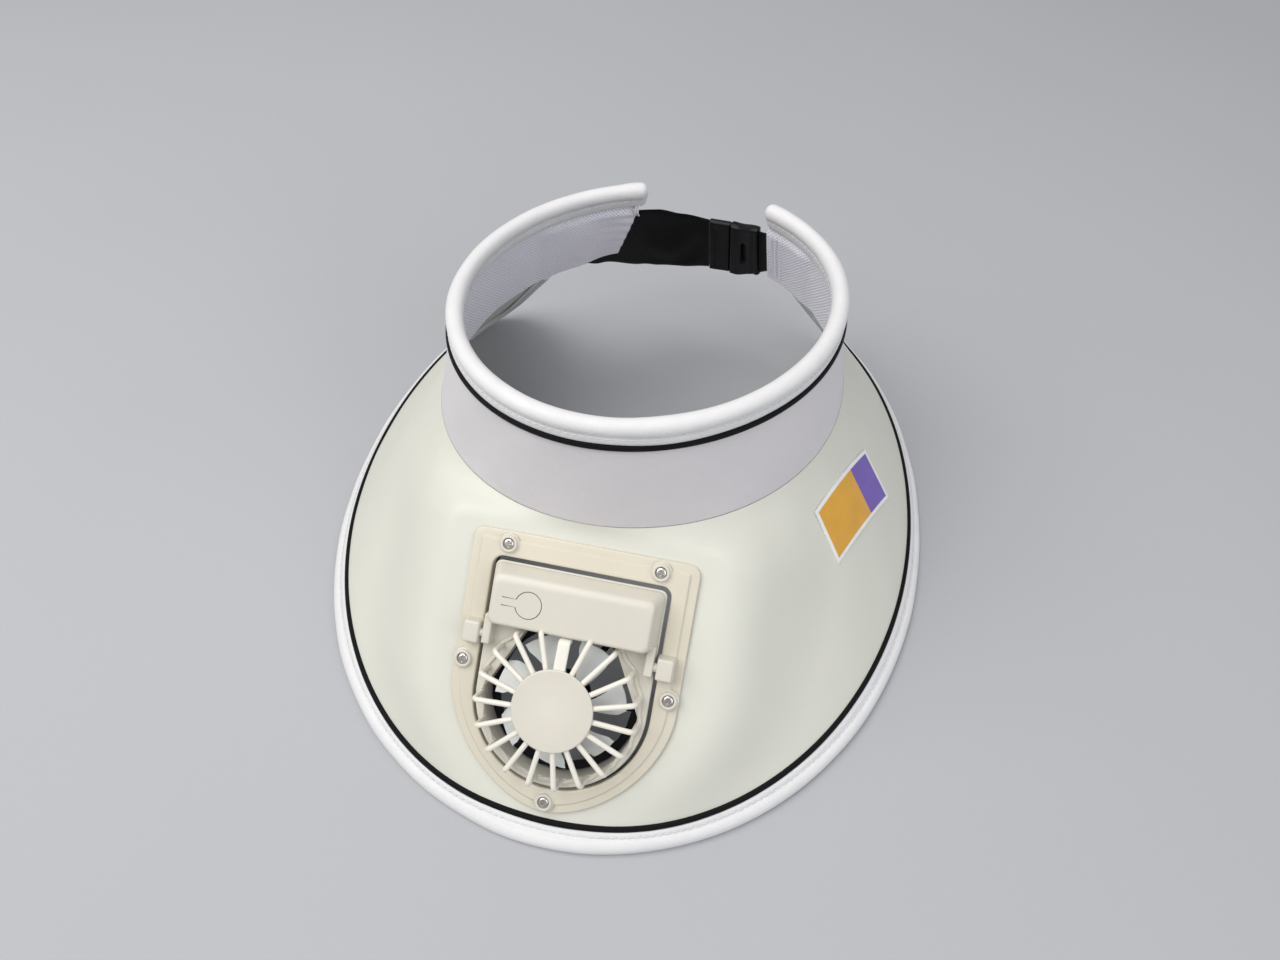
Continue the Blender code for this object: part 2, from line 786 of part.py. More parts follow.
def pocket(turn, share):
    """How far the lining stands off the band to take the strap's ends."""
    spread_angle = math.radians(POCKET_SPREAD)
    left = math.radians(STRAP_START)
    right = math.radians(TAB_END + 360.0)
    near_end = max(share_of(-turn, -left - 2.0 * spread_angle, -left - spread_angle),
                   share_of(turn, right - 2.0 * spread_angle, right - spread_angle))
    return (STRAP_THICKNESS + CLEARANCE) * near_end * share_of(share, POCKET_TOP, POCKET_FULL)


def make_band(hat):
    """Outer cloth of the head band and the lining inside it."""
    shares = (BAND_TOP_GAP / BAND_HEIGHT, POCKET_TOP, POCKET_FULL, LINING_MIDDLE, 1.0)
    faces = [[], [], [], []]
    for place in spread(0.0, 1.0, BAND_STATIONS):
        rows = [[], [], [], []]
        for share in shares:
            turn = band_turn(place, share)
            depth = BAND_THICKNESS + CLEARANCE + pocket(turn, share)
            for row, inward in zip(rows, (0.0, BAND_THICKNESS, depth, depth + LINING_THICKNESS)):
                row.append(band_point(turn, share, inward))
        for face, row in zip(faces, rows):
            face.append(row)
    band = sheet("head_band", faces[0], faces[1])
    lining = sheet("sweat_lining", faces[2], faces[3])
    hat.piece("head_band", band, hat.material("band_cloth", (0.80, 0.79, 0.83), 0.6))
    hat.piece("sweat_lining", lining, hat.material("mesh_cloth", (0.72, 0.71, 0.79), 0.85))


def roll_section():
    """Section of the band's roll: a padded round with a lip down each face of the band."""
    outer = BAND_OFFSET + CLEARANCE
    inner = BAND_OFFSET - BAND_THICKNESS - LINING_THICKNESS - 2.0 * CLEARANCE
    slot_top = 2.0 * CLEARANCE - BAND_TOP_GAP
    crease = -ROLL_RADIUS * ROLL_CREASE
    points = [(-OUTER_LIP, outer + LIP_THICKNESS), (crease, outer + LIP_THICKNESS)]
    for degrees in (-26.0, 8.0, 42.0, 76.0, 110.0, 144.0, 178.0, 214.0):
        angle = math.radians(degrees)
        points.append((ROLL_RADIUS * math.sin(angle), ROLL_RADIUS * math.cos(angle)))
    points += [(crease, inner - LIP_THICKNESS), (-INNER_LIP, inner - LIP_THICKNESS)]
    points += [(-INNER_LIP, inner), (slot_top, inner), (slot_top, outer), (-OUTER_LIP, outer)]
    return points


def make_band_trim(hat):
    """Roll on the band's upper edge and the dark stripe under it."""
    turns = [band_turn(place, 0.0) for place in spread(0.0, 1.0, BAND_STATIONS)]
    turns[0] -= math.radians(ROLL_OVERHANG)
    turns[-1] += math.radians(ROLL_OVERHANG)
    sections = []
    for turn in turns:
        middle, up, out = top_frame(turn)
        sections.append([middle + up * e + out * n for e, n in roll_section()])
    hat.piece("band_roll", loft("band_roll", sections), white_cloth(hat))
    sections = []
    low = BAND_OFFSET + CLEARANCE
    high = low + STRIPE_THICKNESS
    near = -OUTER_LIP - CLEARANCE
    far = near - STRIPE_WIDTH
    profile = ((near, low), (near, high), (far, high), (far, low))
    for turn in turns:
        middle, up, out = top_frame(turn)
        sections.append([middle + up * e + out * n for e, n in profile])
    hat.piece("band_piping", loft("band_piping", sections), black_cloth(hat))


def strap_row(turn_degrees):
    """Top share, bottom share and flare of the strap at a turn."""
    rows = STRAP_COURSE
    for low, high in zip(rows, rows[1:]):
        if high[0] <= turn_degrees <= low[0]:
            part = (low[0] - turn_degrees) / (low[0] - high[0])
            part = part * part * (3.0 - 2.0 * part)
            return [a + (b - a) * part for a, b in zip(low[1:], high[1:])]
    return list(rows[-1][1:]) if turn_degrees < rows[-1][0] else list(rows[0][1:])


def strap_point(turn_degrees, part, depth):
    """Point of the strap, part of the way from its top edge down, at a depth from its outer face."""
    top, bottom, flare = strap_row(turn_degrees)
    turn = math.radians(turn_degrees)
    share = top + (bottom - top) * part
    middle = (top + bottom) / 2.0
    inward = BAND_THICKNESS + CLEARANCE + depth
    flared = band_point(turn, share, inward)
    upright = band_point(turn, middle, inward)
    upright.z = flared.z
    return upright.lerp(flared, flare)


def strap_degrees(length):
    """Turn taken by a length along the strap."""
    return math.degrees(length / (TOP_RADIUS + SEAM_RADIUS) * 2.0)


def strap_share(height, turn_degrees):
    """Share of the strap's height at a turn that a height takes."""
    top, bottom, _ = strap_row(turn_degrees)
    return height / ((bottom - top) * BAND_HEIGHT)


def strap_piece(name, first, last, outer, inner, low=0.0, high=1.0, count=4):
    """Curved plate on the strap's course, between two turns and two depths."""
    sections = []
    parts = spread(low, high, 5)
    for turn in spread(first, last, count):
        face = [strap_point(turn, part, outer) for part in parts]
        back = [strap_point(turn, part, inner) for part in reversed(parts)]
        sections.append(face + back)
    return loft(name, sections)


def make_strap(hat):
    """Elastic strap, buckle halves and the short strap that closes the loop."""
    middle = STRAP_THICKNESS / 2.0
    gap = strap_degrees(CLEARANCE)
    clip_end = CLIP_START - strap_degrees(CLIP_LENGTH)
    socket_start = clip_end - gap
    socket_end = socket_start - strap_degrees(SOCKET_LENGTH)
    tongue_end = socket_start - strap_degrees(TONGUE_LENGTH)
    hard = hat.material("black_plastic", (0.015, 0.015, 0.016), 0.35)
    hat.piece("back_strap", strap_piece("back_strap", STRAP_START, CLIP_START + gap, 0.0,
                                        STRAP_THICKNESS, count=12), black_cloth(hat))
    inset = strap_share(TAB_INSET, socket_end)
    hat.piece("strap_tab", strap_piece("strap_tab", socket_end - gap, TAB_END, 0.0,
                                       STRAP_THICKNESS, inset, 1.0 - inset, 6), black_cloth(hat))
    half = CLIP_THICKNESS / 2.0
    clip = hat.piece("buckle_clip", strap_piece("buckle_clip", CLIP_START, clip_end,
                                                middle - half, middle + half), hard)
    share = strap_share(TONGUE_HEIGHT / 2.0, socket_start)
    half = TONGUE_THICKNESS / 2.0
    overlap = strap_degrees(TONGUE_ROOT)
    tongue = strap_piece("tongue", clip_end + overlap, tongue_end, middle - half, middle + half,
                         0.5 - share, 0.5 + share)
    hat.shape_with(clip, tongue, "UNION")
    half = SOCKET_THICKNESS / 2.0
    socket = hat.piece("buckle_socket", strap_piece("buckle_socket", socket_start, socket_end,
                                                    middle - half, middle + half), hard)
    half = TONGUE_THICKNESS / 2.0 + CLEARANCE
    share += strap_share(2.0 * CLEARANCE, socket_start)
    throat = strap_piece("throat", socket_start + overlap, tongue_end - gap, middle - half,
                         middle + half, 0.5 - share, 0.5 + share)
    hat.shape_with(socket, throat, "DIFFERENCE")
    window_start = socket_start - strap_degrees(WINDOW_PLACE)
    share = strap_share(WINDOW_HEIGHT / 2.0, window_start)
    window = strap_piece("window", window_start, window_start - strap_degrees(WINDOW_LENGTH),
                         middle, middle + SOCKET_THICKNESS, 0.5 - share, 0.5 + share)
    hat.shape_with(socket, window, "DIFFERENCE")


def make_frame(hat):
    """Frame on the brim with its screw bosses and ears, and the clamp ring under the cloth."""
    low = CLEARANCE
    top = low + FLANGE_THICKNESS
    step = top + FRAME_STEP
    levels = [
        (frame_outline(), low),
        (frame_outline(), top - FRAME_EDGE),
        (frame_outline(-FRAME_EDGE), top),
        (frame_outline(-FRAME_STEP_INSET), top),
        (frame_outline(-FRAME_STEP_INSET - FRAME_SLOPE), step),
        (opening_outline(OPENING_SLOPE), step),
        (opening_outline(), step - FRAME_SLOPE),
        (opening_outline(), -BRIM_THICKNESS),
        (opening_outline(FRAME_COLLAR), -BRIM_THICKNESS),
        (opening_outline(FRAME_COLLAR), low),
    ]
    frame = hat.on_seat("fan_frame", stack("fan_frame", levels, ring=True), cream(hat))
    clamp_low = -BRIM_THICKNESS - CLEARANCE - CLAMP_THICKNESS
    levels = [
        (frame_outline(-CLAMP_INSET), -BRIM_THICKNESS - CLEARANCE),
        (opening_outline(), -BRIM_THICKNESS - CLEARANCE),
        (opening_outline(), clamp_low),
        (frame_outline(-CLAMP_INSET), clamp_low),
    ]
    clamp = hat.on_seat("clamp_ring", stack("clamp_ring", levels, ring=True), cream(hat))
    brim = bpy.data.objects["brim_panel"]
    head_low = step + BOSS_HEIGHT - SCREW_HEAD_HEIGHT
    for number, (x, y) in enumerate(screw_places(), 1):
        boss_top = step + BOSS_HEIGHT
        boss = turned([(0.0, low + SINK), (BOSS_RADIUS, low + SINK),
                       (BOSS_RADIUS, boss_top - BOSS_EDGE), (BOSS_RADIUS - BOSS_EDGE, boss_top),
                       (0.0, boss_top)], SMALL_SIDES, x, y)
        hat.shape_with(frame, boss, "UNION")
        shank = SCREW_SHANK_RADIUS + CLEARANCE
        head = SCREW_HEAD_RADIUS + CLEARANCE
        bore = turned([(0.0, -CUTTER_REACH), (shank, -CUTTER_REACH),
                       (shank, head_low - CLEARANCE), (head, head_low - CLEARANCE),
                       (head, CUTTER_REACH), (0.0, CUTTER_REACH)], SMALL_SIDES, x, y)
        hat.shape_with(frame, bore, "DIFFERENCE")
        pad = cylinder(BOSS_RADIUS, clamp_low - CLAMP_PAD, clamp_low + CLAMP_PAD, SMALL_SIDES, x, y)
        hat.shape_with(clamp, pad, "UNION")
        for shape, parent in ((clamp, None), (brim, hat.seat)):
            hole = cylinder(shank, -BRIM_CUTTER_REACH, BRIM_CUTTER_REACH, SMALL_SIDES, x, y)
            hat.shape_with(shape, hole, "DIFFERENCE", parent)
        make_screw(hat, number, x, y, head_low, clamp_low)
    for side in (-1.0, 1.0):
        near = POD_HALF_WIDTH + EAR_GAP
        left, right = sorted((side * near, side * (near + EAR_WIDTH)))
        half = EAR_LENGTH / 2.0
        ear = block(left, right, -half, half, low + SINK, EAR_HEIGHT, EAR_BEVEL)
        hat.shape_with(frame, ear, "UNION")
        bore = pin_mesh(side, near - EAR_GAP, POD_HALF_WIDTH + PIN_LENGTH + CLEARANCE,
                        PIN_RADIUS + CLEARANCE)
        hat.shape_with(frame, bore, "DIFFERENCE")


def screw_places():
    """Places of the screws on the fan's seat: two above, two at the sides and one below."""
    top = (FRAME_HALF_WIDTH - TOP_SCREW_SIDE_INSET, FRAME_TOP - TOP_SCREW_INSET)
    side = (FRAME_HALF_WIDTH - SIDE_SCREW_INSET, -SIDE_SCREW_DROP)
    return ((-top[0], top[1]), top, (-side[0], side[1]), side,
            (0.0, FRAME_BOTTOM + LOW_SCREW_INSET))


def pin_mesh(side, start, end, radius):
    """Pin along the tilt axis, on the right (1) or left (-1) of the pod."""
    mesh = cylinder(radius, start, end, SMALL_SIDES)
    turn = Matrix.Rotation(math.radians(90.0 * side), 4, "Y")
    mesh.transform(Matrix.Translation((0.0, 0.0, PIVOT_HEIGHT)) @ turn)
    return mesh


def make_screw(hat, number, x, y, head_low, clamp_low):
    """Pan-head screw with a cross recess."""
    top = head_low + SCREW_HEAD_HEIGHT
    tip = clamp_low - SCREW_TIP
    profile = [(0.0, tip), (SCREW_SHANK_RADIUS, tip), (SCREW_SHANK_RADIUS, head_low),
               (SCREW_HEAD_RADIUS, head_low), (SCREW_HEAD_RADIUS, top - SCREW_HEAD_EDGE),
               (SCREW_HEAD_RADIUS - SCREW_HEAD_EDGE, top), (0.0, top)]
    metal = hat.material("screw_metal", (0.62, 0.60, 0.57), 0.3, 1.0)
    screw = hat.on_seat(f"screw_{number}", turned(profile, SMALL_SIDES, x, y), metal)
    for across, up in ((SCREW_RECESS, SCREW_SLOT), (SCREW_SLOT, SCREW_RECESS)):
        slot = [(x + across, y + up), (x - across, y + up), (x - across, y - up),
                (x + across, y - up)]
        cutter = plate(slot, top - SCREW_RECESS_DEPTH, top + CUTTER_REACH)
        hat.shape_with(screw, cutter, "DIFFERENCE")


def make_pod(hat):
    """Shell of the pod: a tub for the fan with the battery box on it."""
    levels = [
        (pod_outline(-POD_DRAFT), -POD_DEPTH),
        (pod_outline(-POD_EDGE / 2.0), POD_BREAK),
        (pod_outline(), POD_FACE - POD_EDGE),
        (pod_outline(-POD_EDGE), POD_FACE),
    ]
    pod = hat.on_pod("pod_shell", stack("pod_shell", levels), cream(hat))
    high = POD_REACH - BOX_EDGE_INSET
    wide = POD_HALF_WIDTH - BOX_EDGE_INSET
    base = rectangle(-wide, wide, BOX_LOWER - POD_EDGE, high, POD_CORNER)
    side = POD_HALF_WIDTH - BOX_SIDE_INSET
    upper = high - BOX_UPPER_INSET
    shoulder = rectangle(-side - BOX_EDGE_INSET, side + BOX_EDGE_INSET, BOX_LOWER,
                         upper + POD_EDGE, POD_CORNER)
    face = rectangle(-side + BOX_BEVEL, side - BOX_BEVEL, BOX_LOWER + BOX_BEVEL / 2.0,
                     upper - BOX_BEVEL, POD_CORNER - BOX_BEVEL)
    box = stack("box", [(base, POD_FACE - BOX_FOOT), (base, POD_FACE + BOX_FOOT),
                        (shoulder, BOX_TOP - BOX_BEVEL), (face, BOX_TOP)])
    hat.shape_with(pod, box, "UNION")
    for number in (-1.0, 1.0):
        pin = pin_mesh(number, POD_HALF_WIDTH - PIN_ROOT, POD_HALF_WIDTH + PIN_LENGTH, PIN_RADIUS)
        left, right = sorted((number * (POD_HALF_WIDTH - LUG_WIDTH),
                              number * (POD_HALF_WIDTH - BOX_EDGE_INSET / 2.0)))
        lug = block(left, right, -LUG_LENGTH, BOX_LOWER + BOX_WALL, LUG_LOW, LUG_HEIGHT, LUG_BEVEL)
        hat.shape_with(pod, lug, "UNION")
        hat.shape_with(pod, pin, "UNION")
    wall = BOX_WALL + LUG_BEVEL
    inner = rectangle(-side + wall, side - wall, BOX_LOWER + BOX_WALL, upper - wall, LUG_BEVEL)
    cell = plate(inner, -POD_DEPTH - CUTTER_REACH, BOX_TOP - BOX_WALL)
    hat.shape_with(pod, cell, "DIFFERENCE")
    bore = [(x, min(y, BOX_LOWER - BORE_WALL))
            for x, y in circle(FAN_BORE, BORE_SIDES, 0.0, FAN_CENTRE)]
    fan = plate(bore, -POD_DEPTH - CUTTER_REACH, POD_FACE + CUTTER_REACH)
    hat.shape_with(pod, fan, "DIFFERENCE")
    hat.shape_with(pod, button_slit(), "DIFFERENCE")


def button_slit():
    """Cutter of the slit that leaves the round button on a tongue in the box's top."""
    x, y = BUTTON_PLACE
    tail = math.asin(0.3)
    angles = spread(math.pi + tail, 3.0 * math.pi - tail, 21)
    wide = BUTTON_RADIUS + BUTTON_SLIT / 2.0
    thin = BUTTON_RADIUS - BUTTON_SLIT / 2.0
    outer = [(x + wide * math.cos(a), y + wide * math.sin(a)) for a in angles]
    inner = [(x + thin * math.cos(a), y + thin * math.sin(a)) for a in angles]
    low = (x - BUTTON_RADIUS - BUTTON_TAIL, y - BUTTON_RADIUS * 0.3)
    high = (x - BUTTON_RADIUS - BUTTON_TAIL, y + BUTTON_RADIUS * 0.3)
    half = BUTTON_SLIT / 2.0
    outline_points = [(low[0], low[1] - half)] + outer + [(high[0], high[1] + half)]
    outline_points += [(high[0], high[1] - half)] + inner[::-1] + [(low[0], low[1] + half)]
    return plate(outline_points, BOX_TOP - 2.0 * BOX_WALL, BOX_TOP + BOX_WALL)


def make_back(hat):
    """Back cover of the pod, with the air openings and the seat of the motor."""
    high = -POD_DEPTH - CLEARANCE
    low = high - BACK_THICKNESS
    rim = pod_outline(-POD_DRAFT - BACK_INSET)
    back = hat.on_pod("pod_back", plate(rim, low, high), cream(hat))
    outer = FAN_BORE - BACK_RIM
    inner = MOTOR_RADIUS + MOTOR_SEAT_MARGIN
    for number in range(BACK_OPENINGS):
        middle = 2.0 * math.pi * (number + 0.5) / BACK_OPENINGS
        points = []
        for radius, order in ((outer, 1), (inner, -1)):
            half = math.pi / BACK_OPENINGS - BACK_SPOKE / 2.0 / radius
            for angle in spread(middle - half, middle + half, 5)[::order]:
                points.append((radius * math.cos(angle), FAN_CENTRE + radius * math.sin(angle)))
        cut = plate(points, low - CUTTER_REACH, high + CUTTER_REACH)
        hat.shape_with(back, cut, "DIFFERENCE")
    seat = cylinder(MOTOR_RADIUS + MOTOR_SEAT_WALL, low + SINK, high + MOTOR_SEAT_HEIGHT, ROUND_SIDES,
                    0.0, FAN_CENTRE)
    hat.shape_with(back, seat, "UNION")
    well = cylinder(MOTOR_RADIUS + CLEARANCE, high, high + CUTTER_REACH, ROUND_SIDES, 0.0, FAN_CENTRE)
    hat.shape_with(back, well, "DIFFERENCE")


def rib_mesh(angle, width, profile):
    """Bar with a flat side profile of (distance from the fan's centre, height)."""
    out = Vector((-math.sin(angle), math.cos(angle), 0.0))
    across = Vector((math.cos(angle), math.sin(angle), 0.0))
    place = Matrix((out, Vector((0.0, 0.0, 1.0)), across)).transposed().to_4x4()
    place.translation = (0.0, FAN_CENTRE, 0.0)
    mesh = plate(profile, -width / 2.0, width / 2.0)
    mesh.transform(place)
    return mesh


def make_grille(hat):
    """Flat disc with ribs that reach out, bend down and stand on the pod."""
    low = DISC_TOP - DISC_THICKNESS
    profile = [(0.0, low), (DISC_RADIUS - DISC_UNDERCUT, low), (DISC_RADIUS, low + DISC_EDGE),
               (DISC_RADIUS, DISC_TOP - DISC_EDGE), (DISC_RADIUS - DISC_EDGE, DISC_TOP),
               (0.0, DISC_TOP)]
    disc = turned(profile, DISC_SIDES, 0.0, FAN_CENTRE)
    grille = hat.on_pod("fan_grille", disc, cream(hat))
    start = DISC_RADIUS - RIB_ROOT
    start_top = DISC_TOP - RIB_SINK
    foot = POD_FACE + CLEARANCE
    wall = BOX_LOWER - BORE_WALL - CLEARANCE - FAN_CENTRE
    for number in range(GRILLE_RIBS):
        angle = 2.0 * math.pi * number / GRILLE_RIBS
        reach = GRILLE_RADIUS
        stand = foot
        width = RIB_WIDTH
        if number == 0:
            reach = wall
            stand = KNEE_HEIGHT - RIB_DEPTH * 2.0
            width = WIDE_RIB_WIDTH
        elif GRILLE_RADIUS * math.cos(angle) > wall:
            stand = BOX_TOP + CLEARANCE
            reach = (wall + RIB_ON_BOX) / math.cos(angle)
        knee = KNEE_HEIGHT
        profile = [(start, start_top - RIB_DEPTH), (start, start_top), (reach - RIB_KNEE, knee),
                   (reach, knee - RIB_KNEE), (reach, stand)]
        if stand > knee - RIB_DEPTH:
            profile.append((start + 2.0 * RIB_LEG, stand))
        else:
            profile += [(reach - RIB_LEG, stand), (reach - RIB_LEG, knee - RIB_DEPTH)]
        hat.shape_with(grille, rib_mesh(angle, width, profile), "UNION")


def make_fan(hat):
    """Motor on the back cover and the impeller on its shaft."""
    base = -POD_DEPTH
    shaft_top = base + MOTOR_HEIGHT + MOTOR_SHAFT_LENGTH
    motor = [(0.0, base), (MOTOR_RADIUS, base), (MOTOR_RADIUS, base + MOTOR_HEIGHT),
             (MOTOR_SHAFT_RADIUS, base + MOTOR_HEIGHT), (MOTOR_SHAFT_RADIUS, shaft_top),
             (0.0, shaft_top)]
    steel = hat.material("motor_metal", (0.55, 0.55, 0.56), 0.35, 1.0)
    hat.on_pod("motor", turned(motor, ROUND_SIDES, 0.0, FAN_CENTRE), steel)
    top = shaft_top + CLEARANCE + HUB_WALL
    low = top - HUB_HEIGHT
    inner = HUB_RADIUS - HUB_WALL
    bore = MOTOR_SHAFT_RADIUS + CLEARANCE
    ceiling = top - HUB_WALL
    hub = [(0.0, top), (HUB_RADIUS - HUB_EDGE, top), (HUB_RADIUS, top - HUB_EDGE),
           (HUB_RADIUS, low), (inner, low), (inner, ceiling), (bore + HUB_WALL, ceiling),
           (bore + HUB_WALL, ceiling - HUB_BOSS), (bore, ceiling - HUB_BOSS), (bore, ceiling),
           (0.0, ceiling)]
    clear = hat.material("impeller_plastic", (0.72, 0.73, 0.75), 0.25)
    impeller = hat.on_pod("impeller", turned(hub, ROUND_SIDES, 0.0, FAN_CENTRE), clear, 0.0,
                          FAN_CENTRE)
    for number in range(IMPELLER_BLADES):
        start = 2.0 * math.pi * number / IMPELLER_BLADES
        sections = []
        for radius in spread(HUB_RADIUS - HUB_WALL * 0.5, IMPELLER_RADIUS, 4):
            part = (radius - HUB_RADIUS) / (IMPELLER_RADIUS - HUB_RADIUS)
            sweep = math.radians(BLADE_SPAN) * (1.0 - BLADE_SWEEP * (1.0 - part))
            section = []
            for lift, order in ((BLADE_THICKNESS / 2.0, 1), (-BLADE_THICKNESS / 2.0, -1)):
                for across in spread(-0.5, 0.5, 3)[::order]:
                    angle = start + sweep * across + BLADE_SWEEP * part
                    height = low + BLADE_LIFT + BLADE_HEIGHT * (0.5 + across * BLADE_SLOPE) + lift
                    section.append(Vector((radius * math.cos(angle),
                                           FAN_CENTRE + radius * math.sin(angle), height)))
            sections.append(section)
        hat.shape_with(impeller, loft("blade", sections), "UNION")


def make_patch(hat):
    """Plain patch on the right of the brim."""
    corners = [(math.radians(turn), share) for turn, share in PATCH_CORNERS]
    upper = []
    lower = []
    for down in spread(0.0, 1.0, 5):
        rows = [[], []]
        for across in spread(0.0, 1.0, 6):
            (a, b), (c, d), (e, f), (g, h) = corners
            left = (a + (g - a) * across, b + (h - b) * across)
            right = (c + (e - c) * across, d + (f - d) * across)
            turn = left[0] + (right[0] - left[0]) * down
            share = left[1] + (right[1] - left[1]) * down
            point, _, _, normal = brim_frame(turn, share)
            rows[0].append(point + normal * (PATCH_GAP + PATCH_THICKNESS))
            rows[1].append(point + normal * PATCH_GAP)
        upper.append(rows[0])
        lower.append(rows[1])
    print_colour = hat.material("patch_print", (0.75, 0.48, 0.12), 0.4)
    hat.piece("label_patch", sheet("label_patch", upper, lower), print_colour)


def shade_round(shape):
    shape.data.shade_smooth()
    shape.data.set_sharp_from_angle(angle=math.radians(35.0))


def stand_on_origin(hat):
    """Move the hat so that its box stands centred on the origin."""
    bpy.context.view_layer.update()
    graph = bpy.context.evaluated_depsgraph_get()
    low = Vector((1.0, 1.0, 1.0))
    high = -low
    for shape in hat.parts.objects:
        if shape.type != "MESH":
            continue
        made = shape.evaluated_get(graph)
        for vertex in made.to_mesh().vertices:
            point = made.matrix_world @ vertex.co
            low = Vector([min(pair) for pair in zip(low, point)])
            high = Vector([max(pair) for pair in zip(high, point)])
        made.to_mesh_clear()
    hat.root.location = ((low.x + high.x) / -2.0, (low.y + high.y) / -2.0, -low.z)


def main():
    for shape in list(bpy.data.objects):
        bpy.data.objects.remove(shape)
    hat = Hat()
    make_brim(hat)
    make_brim_edge(hat)
    make_band(hat)
    make_band_trim(hat)
    make_strap(hat)
    make_frame(hat)
    make_pod(hat)
    make_back(hat)
    make_grille(hat)
    make_fan(hat)
    make_patch(hat)
    for shape in hat.parts.objects:
        if shape.type == "MESH":
            shade_round(shape)
    stand_on_origin(hat)


main()
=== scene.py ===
"""Looks of the fan sun hat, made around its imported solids.

Lengths are in metres in the row frame. A turn is an angle about the upright axis of the head, 0 at
the front and positive towards +X. A share runs from 0 at the top of a cloth face to 1 at its end.
"""
import json
import math

import bmesh
import bpy
import numpy as np
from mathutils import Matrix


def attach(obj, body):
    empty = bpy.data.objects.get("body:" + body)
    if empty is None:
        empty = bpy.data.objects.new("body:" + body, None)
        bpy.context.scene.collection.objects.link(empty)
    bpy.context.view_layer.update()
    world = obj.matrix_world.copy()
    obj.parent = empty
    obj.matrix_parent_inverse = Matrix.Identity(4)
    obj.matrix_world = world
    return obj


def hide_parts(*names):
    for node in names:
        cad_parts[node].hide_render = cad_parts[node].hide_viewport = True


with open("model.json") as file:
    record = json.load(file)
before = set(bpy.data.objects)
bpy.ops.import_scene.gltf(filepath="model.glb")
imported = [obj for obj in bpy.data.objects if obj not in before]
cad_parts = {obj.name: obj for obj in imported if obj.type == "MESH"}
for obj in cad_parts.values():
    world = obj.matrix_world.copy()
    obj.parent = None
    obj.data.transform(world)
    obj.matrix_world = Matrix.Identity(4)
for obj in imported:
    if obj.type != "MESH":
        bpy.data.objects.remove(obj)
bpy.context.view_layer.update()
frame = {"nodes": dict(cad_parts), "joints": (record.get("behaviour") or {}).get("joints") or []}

# Camera, at the photograph's angle above the floor
CAMERA_PLACE = (0.07121, -0.25140, 0.44224)
CAMERA_TURN = (34.24, 0.70, 12.67)
CAMERA_LENS = 27.03
SENSOR_WIDTH = 36.0

# Lights of the stage: name, place, size, power and colour
LIGHTS = (
    ("key", (-0.70, -0.20, 1.35), 1.4, 21.0, (1.0, 0.985, 0.955)),
    ("fill", (0.9, -0.5, 0.9), 1.0, 6.0, (0.97, 0.98, 1.0)),
    ("back", (0.1, 0.7, 1.5), 1.0, 1.5, (1.0, 1.0, 1.0)),
)
SKY_COLOUR = (0.95, 0.96, 1.0, 1.0)
SKY_STRENGTH = 0.38
FLOOR_HALF = 3.0

# Numbers of the moulded plastics' shader, and the brushed metal's stretch along its axis
MOULDED = {"subsurface_weight": 0.05, "subsurface_scale": 0.003}
BRUSHED = (1.0, 1.0, 12.0)

# Rings of the hat: size, level, lean, tilt, then front bias, oval, egg, side bias and skew
RINGS = {
    "top": (0.0860, 0.1300, 0.0116, 0.00240, (0.007, 0.006, 0.004, 0.023, -0.029)),
    "seam": (0.0976, 0.0813, 0.0072, 0.00190, (0.035, 0.017, -0.017, 0.014, -0.031)),
    "rim": (0.1641, 0.0036, 0.0000, 0.00000, (0.187, 0.098, 0.016, 0.000, 0.000)),
}

# Head band
BAND_HEIGHT = 0.0487
BAND_OFFSET = 0.0015
BAND_THICKNESS = 0.0020
LINING_THICKNESS = 0.0015
LINING_GAP = 0.0003
BAND_LEFT_END = -168.0
BAND_LEFT_SLANT = 8.0
BAND_RIGHT_END = 147.6
CLOTH_INSET = 2.7
ROLL_INSETS = (1.6, 0.6)
POCKET_TOP = 0.18
POCKET_FULL = 0.295
POCKET_SPREAD = 8.0
ROLL_RADIUS = 0.0040
LIP_THICKNESS = 0.0010
OUTER_LIP = 0.0073
INNER_LIP = 0.0080
STRIPE_WIDTH = 0.0032
STRIPE_THICKNESS = 0.0014

# Brim
BRIM_THICKNESS = 0.0020
BRIM_LEFT_END = -130.5
BRIM_RIGHT_END = 138.5
BRIM_CORNER = 0.026
BRIM_SEAM_GAP = 0.0003
BRIM_INSET = 0.0025
EDGE_STRIP = 0.0103
EDGE_START = 0.034
BINDING_REACH = 0.0040
BINDING_HALF_THICKNESS = 0.0032
BINDING_LIP = 0.0062
SIDE_LIP = 0.0018
SIDE_LIP_TURNS = (22.0, 58.0)
PIPING_WIDTH = 0.0027
PIPING_THICKNESS = 0.0013
FLAT_SIDE_MARGIN = 0.0100
FLAT_TOP_MARGIN = 0.0048
FLAT_BOTTOM_MARGIN = 0.0030
FLAT_FALLOFF = 0.050

# Patch on the brim: corners as (turn, share), and the part of its width where the colours meet
PATCH_CORNERS = ((55.7, 0.176), (82.6, 0.292), (80.3, 0.614), (55.1, 0.435))
PATCH_SPLIT = 0.63
PATCH_BORDER = 0.0018

